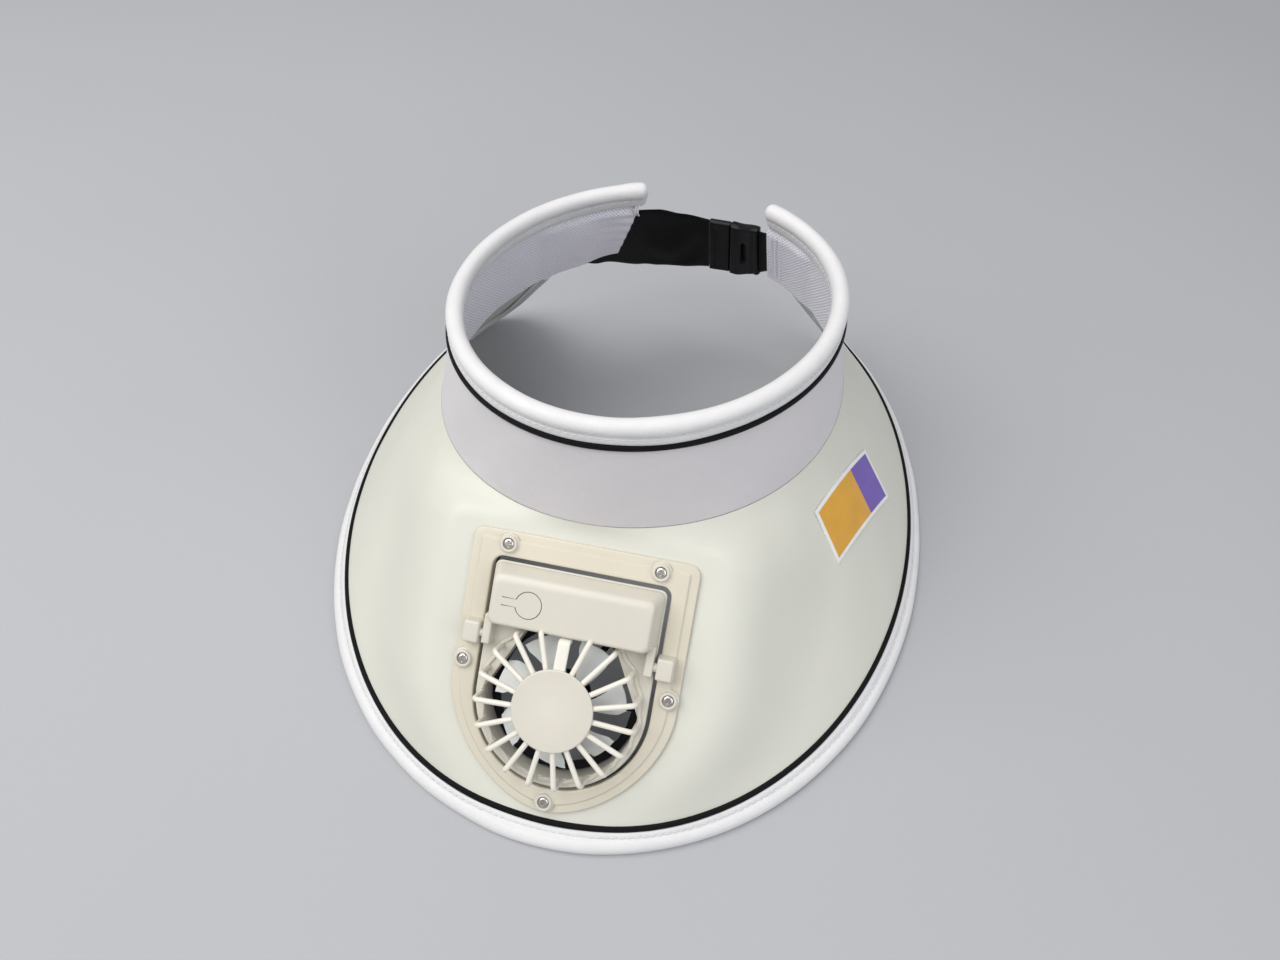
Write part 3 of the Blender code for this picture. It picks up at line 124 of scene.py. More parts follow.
# Back strap: turn, top edge and bottom edge as shares of the band, and flare
STRAP_THICKNESS = 0.0016
STRAP_COURSE = (
    (-140.0, 0.36, 0.98, 1.0),
    (-151.5, 0.32, 1.17, 1.0),
    (-166.0, 0.29, 1.36, 1.0),
    (-172.0, 0.32, 1.38, 0.8),
    (-180.0, 0.41, 1.37, 0.6),
    (-190.0, 0.46, 1.29, 0.5),
    (-199.0, 0.43, 1.24, 0.5),
    (-207.0, 0.34, 1.12, 0.8),
    (-212.0, 0.30, 1.01, 1.0),
    (-220.0, 0.34, 0.92, 1.0),
)
STRAP_START = -140.0
TAB_END = -219.0
CLIP_START = -189.5
CLIP_LENGTH = 0.012
SOCKET_LENGTH = 0.0175
CLIP_THICKNESS = 0.0036
SOCKET_THICKNESS = 0.0052
WINDOW_LENGTH = 0.0030
WINDOW_HEIGHT = 0.013

# Seat of the fan on the brim, and its frame
FAN_DROP = 0.0545
FAN_SINK = 0.0020
FAN_OFFSET = -0.0016
FRAME_HALF_WIDTH = 0.0506
FRAME_TOP = 0.0452
FRAME_SIDE_END = -0.0215
FRAME_BOTTOM = -0.0747
FRAME_POINT = 1.75
FRAME_CORNER = 0.005
FRAME_LOW = 0.0003
FLANGE_TOP = 0.0020
STEP_TOP = 0.0030
STEP_INSET = 0.0034
FRAME_COLLAR = 0.0015
BOSS_RADIUS = 0.0038
BOSS_TOP = 0.0048
SCREW_HEAD_RADIUS = 0.0023
SCREW_HEAD_LOW = 0.0036
SCREW_SHANK_RADIUS = 0.0010
SCREW_END = -0.0047
SCREW_PLACES = (
    (-0.0339, 0.0398),
    (0.0339, 0.0398),
    (-0.0462, -0.0140),
    (0.0462, -0.0140),
    (0.0000, -0.0695),
)
EAR_WIDTH = 0.0082
EAR_GAP = 0.0005
EAR_LENGTH = 0.0105
EAR_HEIGHT = 0.0105

# Pod
POD_HALF_WIDTH = 0.0383
POD_SIDE_GAP = 0.0016
POD_REACH = 0.0324
POD_CORNER = 0.003
POD_DEPTH = 0.0070
POD_DRAFT = 0.0034
POD_FACE = 0.0040
PIVOT_HEIGHT = 0.0070
PIN_RADIUS = 0.0020
PIN_LENGTH = 0.0045
LUG_WIDTH = 0.0044
LUG_LENGTH = 0.0044
LUG_HEIGHT = 0.0100
BOX_TOP = 0.0160
BOX_UPPER_INSET = 0.0028
BOX_SIDE_INSET = 0.0024
BOX_LOWER = 0.0064
BUTTON_RADIUS = 0.0058
BUTTON_PLACE = (-0.0182, 0.0172)
BUTTON_SLIT = 0.0004
BUTTON_TAIL = 0.0060

# Fan
FAN_CENTRE = -0.0238
FAN_BORE = 0.0343
GRILLE_RADIUS = 0.0362
GRILLE_RIBS = 19
RIB_RADIUS = 0.0012
KNEE_HEIGHT = 0.0182
DISC_RADIUS = 0.0177
DISC_TOP = 0.0208
DISC_THICKNESS = 0.0016
WIDE_RIB_WIDTH = 0.0052
HUB_RADIUS = 0.0100
HUB_TOP = 0.0090
HUB_HEIGHT = 0.0110
IMPELLER_RADIUS = 0.0288
IMPELLER_BLADES = 7
BLADE_HEIGHT = 0.0080
BLADE_THICKNESS = 0.0010
BLADE_SPAN = 34.0

# Small forms: thread ends as (place, length), screw recess, and relief of the buckle
TAILS = ((0.0002, 0.0072), (0.0022, 0.0066))
TAIL_RADIUS = 0.0005
RECESS_DEPTH = 0.0008
RECESS_ARM = (0.00024, 0.00040)
RECESS_REACH = (0.0011, 0.0014)
HEAD_DOME = 0.0007
BUCKLE_HEIGHT = 0.034
CLIP_GROOVE = 0.0006
WINDOW_DEPTH = 0.0022
LINE_DEPTH = 0.0003
LEDGE_DEPTH = 0.0005

# Fineness of the meshes
FLAT_ARC = 16
FINE_ARC = 80
FINE_CORNER = 9
BRIM_COLUMNS = 300
BRIM_ROWS = 48
BAND_COLUMNS = 320
EDGE_STEP = 0.0022
CREASE = 38.0
CLOTH_CREASE = 60.0
CAP_TURNS = (18.0, 36.0, 54.0, 70.0, 82.0)
WAVE_SCALE = 0.31416

PLACE = np.zeros(3)


def smooth(value, low, high):
    """Where a value lies between low and high, from 0 to 1, with soft ends."""
    x = np.clip((value - low) / (high - low), 0.0, 1.0)
    return x * x * (3.0 - 2.0 * x)


def unit(vectors):
    return vectors / np.maximum(np.linalg.norm(vectors, axis=-1, keepdims=True), 1e-12)


def along_of(vectors, onto):
    return (vectors * onto).sum(-1, keepdims=True) * onto


def ripple(length, pitch, seed, waves=5):
    """Soft irregular wave along a length, about -1 to 1."""
    numbers = np.random.default_rng(seed)
    total = np.zeros_like(length)
    for _ in range(waves):
        stretch = 0.6 + 1.2 * numbers.random()
        phase = 2.0 * math.pi * numbers.random()
        total = total + np.sin(2.0 * math.pi * length / (pitch * stretch) + phase)
    return total / waves * 1.6


def ring_point(name, turn):
    """Points of a ring at turns in radians."""
    size, level, lean, tilt, (front, oval, egg, side, skew) = RINGS[name]
    turn = np.asarray(turn, float)
    radius = size * (1.0 + front * np.cos(turn) + oval * np.cos(2.0 * turn)
                     + egg * np.cos(3.0 * turn) + side * np.sin(turn) + skew * np.sin(2.0 * turn))
    height = level + lean * np.cos(turn) + tilt * np.sin(turn)
    return np.stack([radius * np.sin(turn), -radius * np.cos(turn), height], -1) + PLACE


def seat_frame():
    """Origin and axes of the fan's own frame: to the side, up the brim, and out of it."""
    seam = ring_point("seam", 0.0)
    down = unit(ring_point("rim", 0.0) - seam)
    side = np.array([1.0, 0.0, 0.0])
    out = unit(np.cross(down, side))
    origin = seam + down * FAN_DROP - out * FAN_SINK + side * FAN_OFFSET
    return origin, np.stack([side, -down, out])


def stand_on_joint():
    """Move the rings so that the fan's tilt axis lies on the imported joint."""
    origin, axes = seat_frame()
    tilt = next(joint for joint in frame["joints"] if joint["name"] == "pod_tilt")
    return np.array(tilt["pos_m"]) - origin - axes[2] * PIVOT_HEIGHT


PLACE = stand_on_joint()
SEAT_ORIGIN, SEAT_AXES = seat_frame()


def to_seat(points):
    return (points - SEAT_ORIGIN) @ SEAT_AXES.T


def from_seat(points):
    return SEAT_ORIGIN + np.asarray(points, float) @ SEAT_AXES


def outline(half_width, top, side_end, bottom, point, corner, grow=0.0, fine=True):
    """Square-topped, round-bottomed outline, anticlockwise from the right side's lower end."""
    arc = FINE_ARC if fine else FLAT_ARC
    half_width += grow
    top += grow
    bottom -= grow
    corner = max(corner + grow, 0.0005)
    angle = np.linspace(math.pi, 0.0, arc + 1)
    across = np.sign(np.cos(angle)) * np.abs(np.cos(angle)) ** (2.0 / point)
    fall = np.abs(np.sin(angle)) ** (2.0 / point)
    pieces = [np.stack([half_width * across, side_end - (side_end - bottom) * fall], -1)]
    for side, first in ((1.0, 0.0), (-1.0, 90.0)):
        angle = np.radians(np.linspace(first, first + 90.0, FINE_CORNER if fine else 3))
        pieces.append(np.stack([side * (half_width - corner) + corner * np.cos(angle),
                                top - corner + corner * np.sin(angle)], -1))
    return np.concatenate(pieces)


def frame_outline(grow=0.0):
    return outline(FRAME_HALF_WIDTH, FRAME_TOP, FRAME_SIDE_END, FRAME_BOTTOM, FRAME_POINT,
                   FRAME_CORNER, grow)


def pod_outline(grow=0.0):
    return outline(POD_HALF_WIDTH, POD_REACH, FAN_CENTRE, FAN_CENTRE - POD_HALF_WIDTH, 2.0,
                   POD_CORNER, grow)


def opening_outline(grow=0.0):
    return pod_outline(POD_SIDE_GAP + grow)


FLAT_OUTLINE = outline(FRAME_HALF_WIDTH + FLAT_SIDE_MARGIN, FRAME_TOP + FLAT_TOP_MARGIN,
                       FRAME_SIDE_END, FRAME_BOTTOM - FLAT_BOTTOM_MARGIN, FRAME_POINT,
                       FRAME_CORNER, fine=False)


def distance_outside(x, y, loop):
    """Distance from points to a closed outline, 0 inside it."""
    shape = np.broadcast(x, y).shape
    x = np.broadcast_to(x, shape).reshape(-1, 1)
    y = np.broadcast_to(y, shape).reshape(-1, 1)
    ax, ay = loop.T
    bx, by = np.roll(loop, -1, axis=0).T
    rise = np.where(by == ay, 1.0, by - ay)
    crossed = ((ay > y) != (by > y)) & (x < (bx - ax) * (y - ay) / rise + ax)
    inside = crossed.sum(1) % 2 == 1
    length = np.maximum((bx - ax) ** 2 + (by - ay) ** 2, 1e-12)
    part = np.clip(((x - ax) * (bx - ax) + (y - ay) * (by - ay)) / length, 0.0, 1.0)
    away = np.hypot(x - ax - part * (bx - ax), y - ay - part * (by - ay)).min(1)
    return np.where(inside, 0.0, away).reshape(shape)


def brim_width(turn):
    return np.linalg.norm(ring_point("rim", turn) - ring_point("seam", turn), axis=-1)


def brim_face(turn, share):
    """Points of the brim's upper face, drawn flat where the fan's frame is clamped on it."""
    turn, share = np.broadcast_arrays(np.asarray(turn, float), np.asarray(share, float))
    seam = ring_point("seam", turn)
    width = brim_width(turn)
    start = BRIM_SEAM_GAP / width
    point = seam + (ring_point("rim", turn) - seam) * (start + (1.0 - start) * share)[..., None]
    local = to_seat(point)
    away = distance_outside(local[..., 0], local[..., 1], FLAT_OUTLINE)
    down = share * width
    left = (1.0 - share) * width
    pull = 1.0 - smooth(away, 0.0, FLAT_FALLOFF)
    pull = pull * smooth(down / (down + away + 1e-9), 0.0, 1.0)
    pull = pull * smooth(left / (left + away + 1e-9), 0.0, 1.0)
    local[..., 2] *= 1.0 - pull
    return np.where((np.abs(turn) > math.pi / 2.0)[..., None], point, from_seat(local))


def brim_normal(turn, share):
    step = 0.004
    low = np.maximum(share - step, 0.0)
    along = brim_face(turn + step, share) - brim_face(turn - step, share)
    down = brim_face(turn, low + 2.0 * step) - brim_face(turn, low)
    return unit(np.cross(down, along))


def top_frame(turn):
    """Centre line of the roll with its own axes: up along the band and out of it."""
    step = 0.01
    turn = np.asarray(turn, float)
    top = ring_point("top", turn)
    seam = ring_point("seam", turn)
    along = unit(ring_point("top", turn + step) - ring_point("top", turn - step))
    out = np.stack([np.sin(turn), -np.cos(turn), np.zeros_like(turn)], -1)
    for _ in range(2):
        up = top + out * BAND_OFFSET - seam
        up = unit(up - along_of(up, along))
        out = np.cross(along, up)
    return top, up, out


def band_face(turn, share):
    top, _, out = top_frame(turn)
    edge = top + out * BAND_OFFSET
    return edge + (ring_point("seam", turn) - edge) * np.asarray(share)[..., None]


def band_point(turn, share, inward=0.0):
    """Points of the band's outer face at a share of its height, or a distance inward of it."""
    step = 0.01
    turn, share, inward = np.broadcast_arrays(turn, share, inward)
    along = band_face(turn + step, share) - band_face(turn - step, share)
    down = band_face(turn, share + step) - band_face(turn, share - step)
    return band_face(turn, share) - unit(np.cross(down, along)) * inward[..., None]


def grid_faces(rows, wide, around=False):
    """Quads of a grid of points, its rows closed into rings if around."""
    index = np.arange(rows * wide).reshape(rows, wide)
    if around:
        index = np.concatenate([index, index[:, :1]], 1)
    cells = [index[:-1, :-1], index[:-1, 1:], index[1:, 1:], index[1:, :-1]]
    return np.stack(cells, -1)


def closed_sheet(upper, lower, keep=None):
    """Closed sheet between two grids of points, only its kept cells if given."""
    rows, wide = upper.shape[:2]
    cells = grid_faces(rows, wide)
    cells = cells.reshape(-1, 4) if keep is None else cells[keep]
    count = rows * wide
    faces = cells.tolist()
    edges = {(face[k], face[(k + 1) % 4]) for face in faces for k in range(4)}
    faces += (cells[:, ::-1] + count).tolist()
    for a, b in sorted(edges):
        if (b, a) not in edges:
            faces.append([b, a, count + a, count + b])
    return np.concatenate([upper.reshape(-1, 3), lower.reshape(-1, 3)]), faces


def tube(sections, ring=False):
    """Closed body through rings of points: capped at both ends, or joined end to end."""
    count, around = sections.shape[:2]
    if ring:
        sections = np.concatenate([sections, sections[:1]])
    faces = grid_faces(len(sections), around, True).reshape(-1, 4)
    if ring:
        faces = faces % (count * around)
        return sections[:-1].reshape(-1, 3), faces.tolist()
    caps = [list(range(around)), list(range(count * around - 1, (count - 1) * around - 1, -1))]
    return sections.reshape(-1, 3), faces.tolist() + caps


def turned(profile, sides=48, x=0.0, y=0.0):
    """Closed body turned about an upright line, from (radius, height) pairs, closed at its axis."""
    angle = np.linspace(0.0, 2.0 * math.pi, sides, endpoint=False)
    profile = np.array(profile, float)
    points = np.stack([x + profile[:, :1] * np.cos(angle), y + profile[:, :1] * np.sin(angle),
                       np.broadcast_to(profile[:, 1:], (len(profile), sides))], -1)
    return tube(points)


def rounding(radius, centre, first, last, steps=5):
    """Points of an arc about a centre, between two angles in degrees."""
    angle = np.radians(np.linspace(first, last, steps))
    return [(centre[0] + radius * math.cos(a), centre[1] + radius * math.sin(a)) for a in angle]


def bar(path, across, half_wide, half_high, power=2.0, sides=14):
    """Bar along a path, its section a rounded rectangle square to across."""
    lift = unit(np.cross(unit(np.gradient(path, axis=0)), across))
    angle = np.linspace(0.0, 2.0 * math.pi, sides, endpoint=False)
    wide = half_wide * np.sign(np.cos(angle)) * np.abs(np.cos(angle)) ** (2.0 / power)
    high = half_high * np.sign(np.sin(angle)) * np.abs(np.sin(angle)) ** (2.0 / power)
    return tube(path[:, None] + across * wide[:, None] + lift[:, None] * high[:, None])


def soft_box(low, high, radius, taper=0.0):
    """Box with rounded edges, its top narrowed by a taper."""
    shape = bmesh.new()
    bmesh.ops.create_cube(shape, size=1.0)
    low = np.array(low)
    high = np.array(high)
    for vertex in shape.verts:
        place = (low + high) / 2.0 + np.array(vertex.co) * (high - low)
        if vertex.co.z > 0.0:
            place[:2] -= np.sign(np.array(vertex.co)[:2]) * taper
        vertex.co = place
    bmesh.ops.bevel(shape, geom=shape.edges[:], offset=radius, segments=4, profile=0.6,
                    affect="EDGES")
    points = np.array([vertex.co for vertex in shape.verts])
    faces = [[vertex.index for vertex in face.verts] for face in shape.faces]
    shape.free()
    return points, faces


class Shells:
    """Closed shells gathered into one mesh."""

    def __init__(self):
        self.points = []
        self.faces = []
        self.uvs = []
        self.numbers = []
        self.count = 0

    def add(self, points, faces, uv=None, number=0):
        points = np.asarray(points, float)
        self.points.append(points)
        self.uvs.append(np.zeros((len(points), 2)) if uv is None else uv)
        self.faces += [[corner + self.count for corner in face] for face in faces]
        self.numbers += [number] * len(faces)
        self.count += len(points)
        return self

    def make(self, name, materials, on_seat=False, crease=CREASE):
        """Object of the shells, in the row frame."""
        points = np.concatenate(self.points)
        if on_seat:
            points = from_seat(points)
        used = np.unique(np.concatenate([np.array(face) for face in self.faces]))
        fresh = np.full(len(points), -1)
        fresh[used] = np.arange(len(used))
        faces = [fresh[face].tolist() for face in self.faces]
        mesh = bpy.data.meshes.new(name)
        mesh.from_pydata(points[used].tolist(), [], faces)
        mesh.polygons.foreach_set("material_index", self.numbers)
        uv = np.concatenate(self.uvs)[used]
        corners = np.empty(len(mesh.loops), np.int32)
        mesh.loops.foreach_get("vertex_index", corners)
        mesh.uv_layers.new(name="UVMap").data.foreach_set("uv", uv[corners].ravel())
        shape = bmesh.new()
        shape.from_mesh(mesh)
        bmesh.ops.recalc_face_normals(shape, faces=shape.faces)
        shape.to_mesh(mesh)
        shape.free()
        mesh.shade_smooth()
        mesh.set_sharp_from_angle(angle=math.radians(crease))
        made = bpy.data.objects.new(name, mesh)
        bpy.context.scene.collection.objects.link(made)
        for material in materials:
            mesh.materials.append(material)
        return made


def dress(piece, body, slot, *nodes):
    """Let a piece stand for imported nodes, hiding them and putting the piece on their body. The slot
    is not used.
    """
    if nodes:
        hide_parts(*nodes)
    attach(piece, body)
    return piece


class Finish:
    """A procedural material on one shader."""

    def __init__(self, name, colour, roughness, **numbers):
        self.material = bpy.data.materials.new(name)
        self.material.use_nodes = True
        self.tree = self.material.node_tree
        self.shader = self.tree.nodes["Principled BSDF"]
        self.colour = colour
        self.shader.inputs["Base Color"].default_value = (*colour, 1.0)
        self.shader.inputs["Roughness"].default_value = roughness
        for label, value in numbers.items():
            label = label.replace("_", " ").title().replace("Ior", "IOR")
            self.shader.inputs[label].default_value = value

    def node(self, kind, **inputs):
        made = self.tree.nodes.new("ShaderNode" + kind)
        for label, value in inputs.items():
            label = label.replace("_", " ")
            if isinstance(value, bpy.types.NodeSocket):
                self.tree.links.new(value, made.inputs[label])
            else:
                made.inputs[label].default_value = value
        return made

    def sum_of(self, kind, first, second):
        made = self.tree.nodes.new("ShaderNodeMath")
        made.operation = kind
        for place, value in enumerate((first, second)):
            if isinstance(value, bpy.types.NodeSocket):
                self.tree.links.new(value, made.inputs[place])
            else:
                made.inputs[place].default_value = value
        return made.outputs["Value"]

    def place(self, kind, scale, turn=0.0):
        """Coordinates in the unit that scale gives, from the mesh or its cloth map."""
        source = self.node("TexCoord")
        mapping = self.node("Mapping", Vector=source.outputs[kind])
        mapping.inputs["Scale"].default_value = scale
        mapping.inputs["Rotation"].default_value = (0.0, 0.0, math.radians(turn))
        return mapping.outputs["Vector"]

    def noise(self, scale, detail=3.0, rough=0.5, stretch=(1.0, 1.0, 1.0)):
        """Noise with features of about one over scale, in millimetres."""
        place = self.place("Object", tuple(1000.0 * part for part in stretch))
        made = self.node("TexNoise", Vector=place, Scale=scale, Detail=detail, Roughness=rough)
        return made.outputs["Fac"]

    def weave(self, pitch, join, depth, unevenness, uneven_depth, turn=0.0):
        """Relief of crossed threads of a pitch in millimetres, over soft unevenness."""
        place = self.place("UV", (1000.0 / pitch[0], 1000.0 / pitch[1], 1.0), turn)
        waves = []
        for direction in ("X", "Y"):
            wave = self.node("TexWave", Vector=place, Scale=WAVE_SCALE)
            wave.wave_type = "BANDS"
            wave.bands_direction = direction
            wave.wave_profile = "SIN"
            waves.append(wave.outputs["Fac"])
        cells = self.sum_of(join, *waves)
        normal = self.bump(cells, depth)
        self.bump(self.noise(*unevenness), uneven_depth, normal)
        return waves[0], cells

    def tint(self, factor, other, low=0.3, high=0.7):
        """Colour that goes from the finish's own to another along a factor."""
        ramp = self.node("ValToRGB", Fac=factor)
        ramp.color_ramp.elements[0].position = low
        ramp.color_ramp.elements[1].position = high
        ramp.color_ramp.elements[0].color = (*self.colour, 1.0)
        ramp.color_ramp.elements[1].color = (*other, 1.0)
        self.tree.links.new(ramp.outputs["Color"], self.shader.inputs["Base Color"])
        return self

    def bump(self, height, depth, normal=None):
        """Relief of a depth in metres. Returns its normal, which the shader takes."""
        made = self.node("Bump", Height=height, Strength=1.0, Distance=depth)
        if normal is not None:
            self.tree.links.new(normal, made.inputs["Normal"])
        self.tree.links.new(made.outputs["Normal"], self.shader.inputs["Normal"])
        return made.outputs["Normal"]


def shaded(colour, factor):
    """A colour made darker by a factor."""
    return tuple(part * factor for part in colour)


def hard_finish(name, colour, other, rough, patches, grain, depth, **numbers):
    """A hard material with faint patches of another colour, and a fine grain of a depth."""
    hard = Finish(name, colour, rough, **numbers)
    hard.tint(hard.noise(*patches), other)
    hard.bump(hard.noise(*grain), depth)
    return hard.material


def make_finishes():
    """Every material of the scene, by the record's slot names or names of its own."""
    brim = Finish("brim_cloth_satin", (0.690, 0.690, 0.615), 0.50, sheen_weight=0.10,
                  sheen_roughness=0.4)
    brim.tint(brim.noise(0.02, 2.0), shaded(brim.colour, 0.975))
    brim.weave((0.55, 0.55), "MULTIPLY", 0.00004, (0.05, 3.0), 0.00025)

    band = Finish("band_cloth_smooth", (0.705, 0.680, 0.700), 0.58, sheen_weight=0.2)
    band.tint(band.noise(0.03, 3.0), shaded(band.colour, 0.96))
    band.weave((0.6, 0.6), "MULTIPLY", 0.00008, (0.12, 3.0), 0.0003)

    white = Finish("white_cloth_padded", (0.76, 0.755, 0.76), 0.55, sheen_weight=0.2,
                   subsurface_weight=0.06, subsurface_scale=0.004)
    white.tint(white.noise(0.08, 3.0), shaded(white.colour, 0.955))
    white.weave((0.7, 0.7), "MULTIPLY", 0.00006, (0.35, 4.0, 0.6), 0.00018)

    mesh = Finish("mesh_cloth_waffle", (0.70, 0.68, 0.80), 0.8, sheen_weight=0.2)
    # The waffle is coloured darker in its hollows than on its raised threads: painted shade in the
    # hollows.
    _, cells = mesh.weave((1.5, 1.5), "MAXIMUM", 0.00035, (0.9, 2.0), 0.0001, turn=45.0)
    mesh.tint(cells, (0.92, 0.91, 0.98), 0.35, 0.9)

    black = Finish("black_cloth_ribbed", (0.003, 0.003, 0.004), 0.45, specular_ior_level=0.12)
    ribs, _ = black.weave((0.8, 0.55), "MAXIMUM", 0.00012, (0.2, 3.0), 0.0002)
    black.tint(ribs, (0.007, 0.007, 0.008), 0.5, 1.0)

    made = {"brim_cloth": brim.material, "band_cloth": band.material, "white_cloth": white.material,
            "mesh_cloth": mesh.material, "black_cloth": black.material}
    # Black moulded plastic of the buckle and clamp ring, also put on the pod's back as painted shade.
    made["black_plastic"] = hard_finish(
        "black_plastic_and_painted_shade_moulded", (0.004, 0.004, 0.005), (0.007, 0.007, 0.008), 0.36,
        (0.15, 3.0), (2.5, 3.0), 0.00003, specular_ior_level=0.2)
    for name, colour in (("frame", (0.68, 0.635, 0.525)), ("cream", (0.66, 0.63, 0.55)),
                         ("pale", (0.80, 0.77, 0.69))):
        made[name + "_plastic"] = hard_finish(
            name + "_plastic_moulded", colour, shaded(colour, 0.975), 0.30,
            (0.04, 2.0), (2.2, 3.0), 0.00002, **MOULDED)
    made["impeller_plastic"] = hard_finish(
        "impeller_plastic_clear", (0.78, 0.775, 0.765), (0.70, 0.695, 0.69), 0.28,
        (0.12, 3.0), (0.8, 3.0), 0.00003, subsurface_weight=0.25, subsurface_scale=0.004)
    made["screw_metal"] = hard_finish(
        "nickel_plated", (0.74, 0.72, 0.69), (0.60, 0.58, 0.55), 0.26,
        (0.6, 3.0), (3.0, 3.0), 0.00003, metallic=1.0)
    made["motor_metal"] = hard_finish(
        "motor_steel", (0.48, 0.48, 0.49), (0.36, 0.36, 0.37), 0.32,
        (0.4, 3.0, 0.5, BRUSHED), (1.5, 3.0, 0.5, BRUSHED), 0.00003, metallic=1.0)
    for name, colour in (("paper", (0.90, 0.90, 0.90)), ("amber", (0.76, 0.40, 0.05)),
                         ("violet", (0.19, 0.11, 0.48))):
        made["patch_" + name] = hard_finish(
            "patch_" + name, colour, shaded(colour, 0.9), 0.38,
            (0.10, 2.0), (1.2, 2.0), 0.00002)
    made["floor"] = hard_finish("floor_paint", (0.42, 0.43, 0.45), (0.41, 0.42, 0.44), 0.7,
                                (0.004, 2.0), (0.2, 2.0), 0.0001)
    return made


def grid_uv(length, depth, sides=2):
    """Cloth map in metres of a grid, the same on both its faces."""
    uv = np.stack(np.broadcast_arrays(length, depth), -1).reshape(-1, 2)
    return np.concatenate([uv] * sides)


def run_length(points):
    """Length along a row of points."""
    steps = np.linalg.norm(np.diff(points, axis=0), axis=-1)
    return np.concatenate([[0.0], np.cumsum(steps)])


def brim_columns():
    """Turns of the brim's columns with the share at which each ends under the binding."""
    angle = np.linspace(0.0, math.pi / 2.0, 14)
    inward = BRIM_INSET + BRIM_CORNER * (1.0 - np.cos(angle))
    depth = BRIM_INSET + BRIM_CORNER * (1.0 - np.sin(angle))
    ends = []
    for side, degrees in ((-1.0, BRIM_LEFT_END), (1.0, BRIM_RIGHT_END)):
        end = math.radians(degrees)
        rim = ring_point("rim", end) - PLACE
        turns = end - side * inward / math.hypot(rim[0], rim[1])
        ends.append((turns, 1.0 - depth / brim_width(turns)))
    middle = np.linspace(ends[0][0][-1], ends[1][0][-1], BRIM_COLUMNS)[1:-1]
    turns = np.concatenate([ends[0][0], middle, ends[1][0][::-1]])
    reach = np.concatenate([ends[0][1], 1.0 - BRIM_INSET / brim_width(middle), ends[1][1][::-1]])
    return turns, reach


def make_brim(finishes):
    """Coated cloth of the brim, open where the fan's frame goes through it."""
    turns, reach = brim_columns()
    turn = turns[:, None]
    share = reach[:, None] * np.linspace(0.0, 1.0, BRIM_ROWS)
    face = brim_face(turn, share)
    normal = brim_normal(turn, share)
    local = to_seat(face)
    away = distance_outside(local[..., 0], local[..., 1], FLAT_OUTLINE)
    calm = smooth(away, 0.0, 0.02) * smooth(share, 0.0, 0.15) * smooth(1.0 - share, 0.03, 0.2)
    wave = ripple(turn * RINGS["rim"][0], 0.060, 3) * ripple(share * 0.1 + turn * 0.02, 0.05, 4)
    face = face + normal * (0.0005 * calm * wave)[..., None]
    hole = distance_outside(local[..., 0], local[..., 1], opening_outline(FRAME_COLLAR + 0.001))
    dry = hole > 0.0
    keep = dry[:-1, :-1] & dry[1:, :-1] & dry[:-1, 1:] & dry[1:, 1:]
    points, faces = closed_sheet(face, face - normal * BRIM_THICKNESS, keep)
    width = brim_width(turns)[:, None]
    uv = grid_uv(turn * 0.15, share * width)
    piece = Shells().add(points, faces, uv).make("brim_cloth_panel", [finishes["brim_cloth"]])
    dress(piece, "hat", "brim_cloth", "brim_panel")
    return piece


def brim_edge():
    """Fine stations of the brim's free edge: point, out of it, square to it, and length."""
    angle = np.linspace(0.0, math.pi / 2.0, 22)[1:-1]
    parts = []
    for side, degrees in ((-1.0, BRIM_LEFT_END), (1.0, BRIM_RIGHT_END)):
        end = math.radians(degrees)
        rim = ring_point("rim", end) - PLACE
        width = float(brim_width(end))
        sweep = BRIM_CORNER / math.hypot(rim[0], rim[1])
        reach = 1.0 - BRIM_CORNER / width
        rise = np.linspace(EDGE_START * reach, reach, int(width / EDGE_STEP))
        straight = np.stack([np.full_like(rise, end), rise], -1)
        bend = np.stack([end - side * sweep * (1.0 - np.cos(angle)),
                         1.0 - BRIM_CORNER / width * (1.0 - np.sin(angle))], -1)
        parts.append((np.concatenate([straight, bend]), end - side * sweep))
    steps = int((parts[1][1] - parts[0][1]) * 0.17 / EDGE_STEP)
    turns = np.linspace(parts[0][1], parts[1][1], steps)
    rim = np.stack([turns, np.ones_like(turns)], -1)
    path = np.concatenate([parts[0][0], rim, parts[1][0][::-1]])
    turn, share = path.T
    point = brim_face(turn, share)
    width = brim_width(turn)
    radius = np.hypot(point[:, 0] - PLACE[0], point[:, 1] - PLACE[1])
    step = unit(np.stack([np.diff(turn) * radius[1:], np.diff(share) * width[1:]], -1))
    run = unit(np.concatenate([step[:1], step[1:] + step[:-1], step[-1:]]))
    inner = brim_face(turn + run[:, 1] * EDGE_STRIP / radius, share - run[:, 0] * EDGE_STRIP / width)
    near = 0.05 * EDGE_STRIP
    ahead = brim_face(turn + run[:, 0] * near / radius, share + run[:, 1] * near / width)
    behind = brim_face(turn - run[:, 0] * near / radius, share - run[:, 1] * near / width)
    along = unit(ahead - behind)
    out = point - inner
    out = unit(out - along_of(out, along))
    normal = np.cross(out, along)
    return point - normal * (BRIM_THICKNESS / 2.0), out, normal, run_length(point)


def strip_points(lip, crease, face, count=7):
    """Narrow strip from its free end to the crease of the roll, slightly domed."""
    part = np.linspace(0.0, 1.0, count)
    dome = np.sqrt(np.sin(math.pi * (0.10 + 0.78 * part)))
    return np.stack([-lip + (lip + crease) * part, face + LIP_THICKNESS * dome], -1)


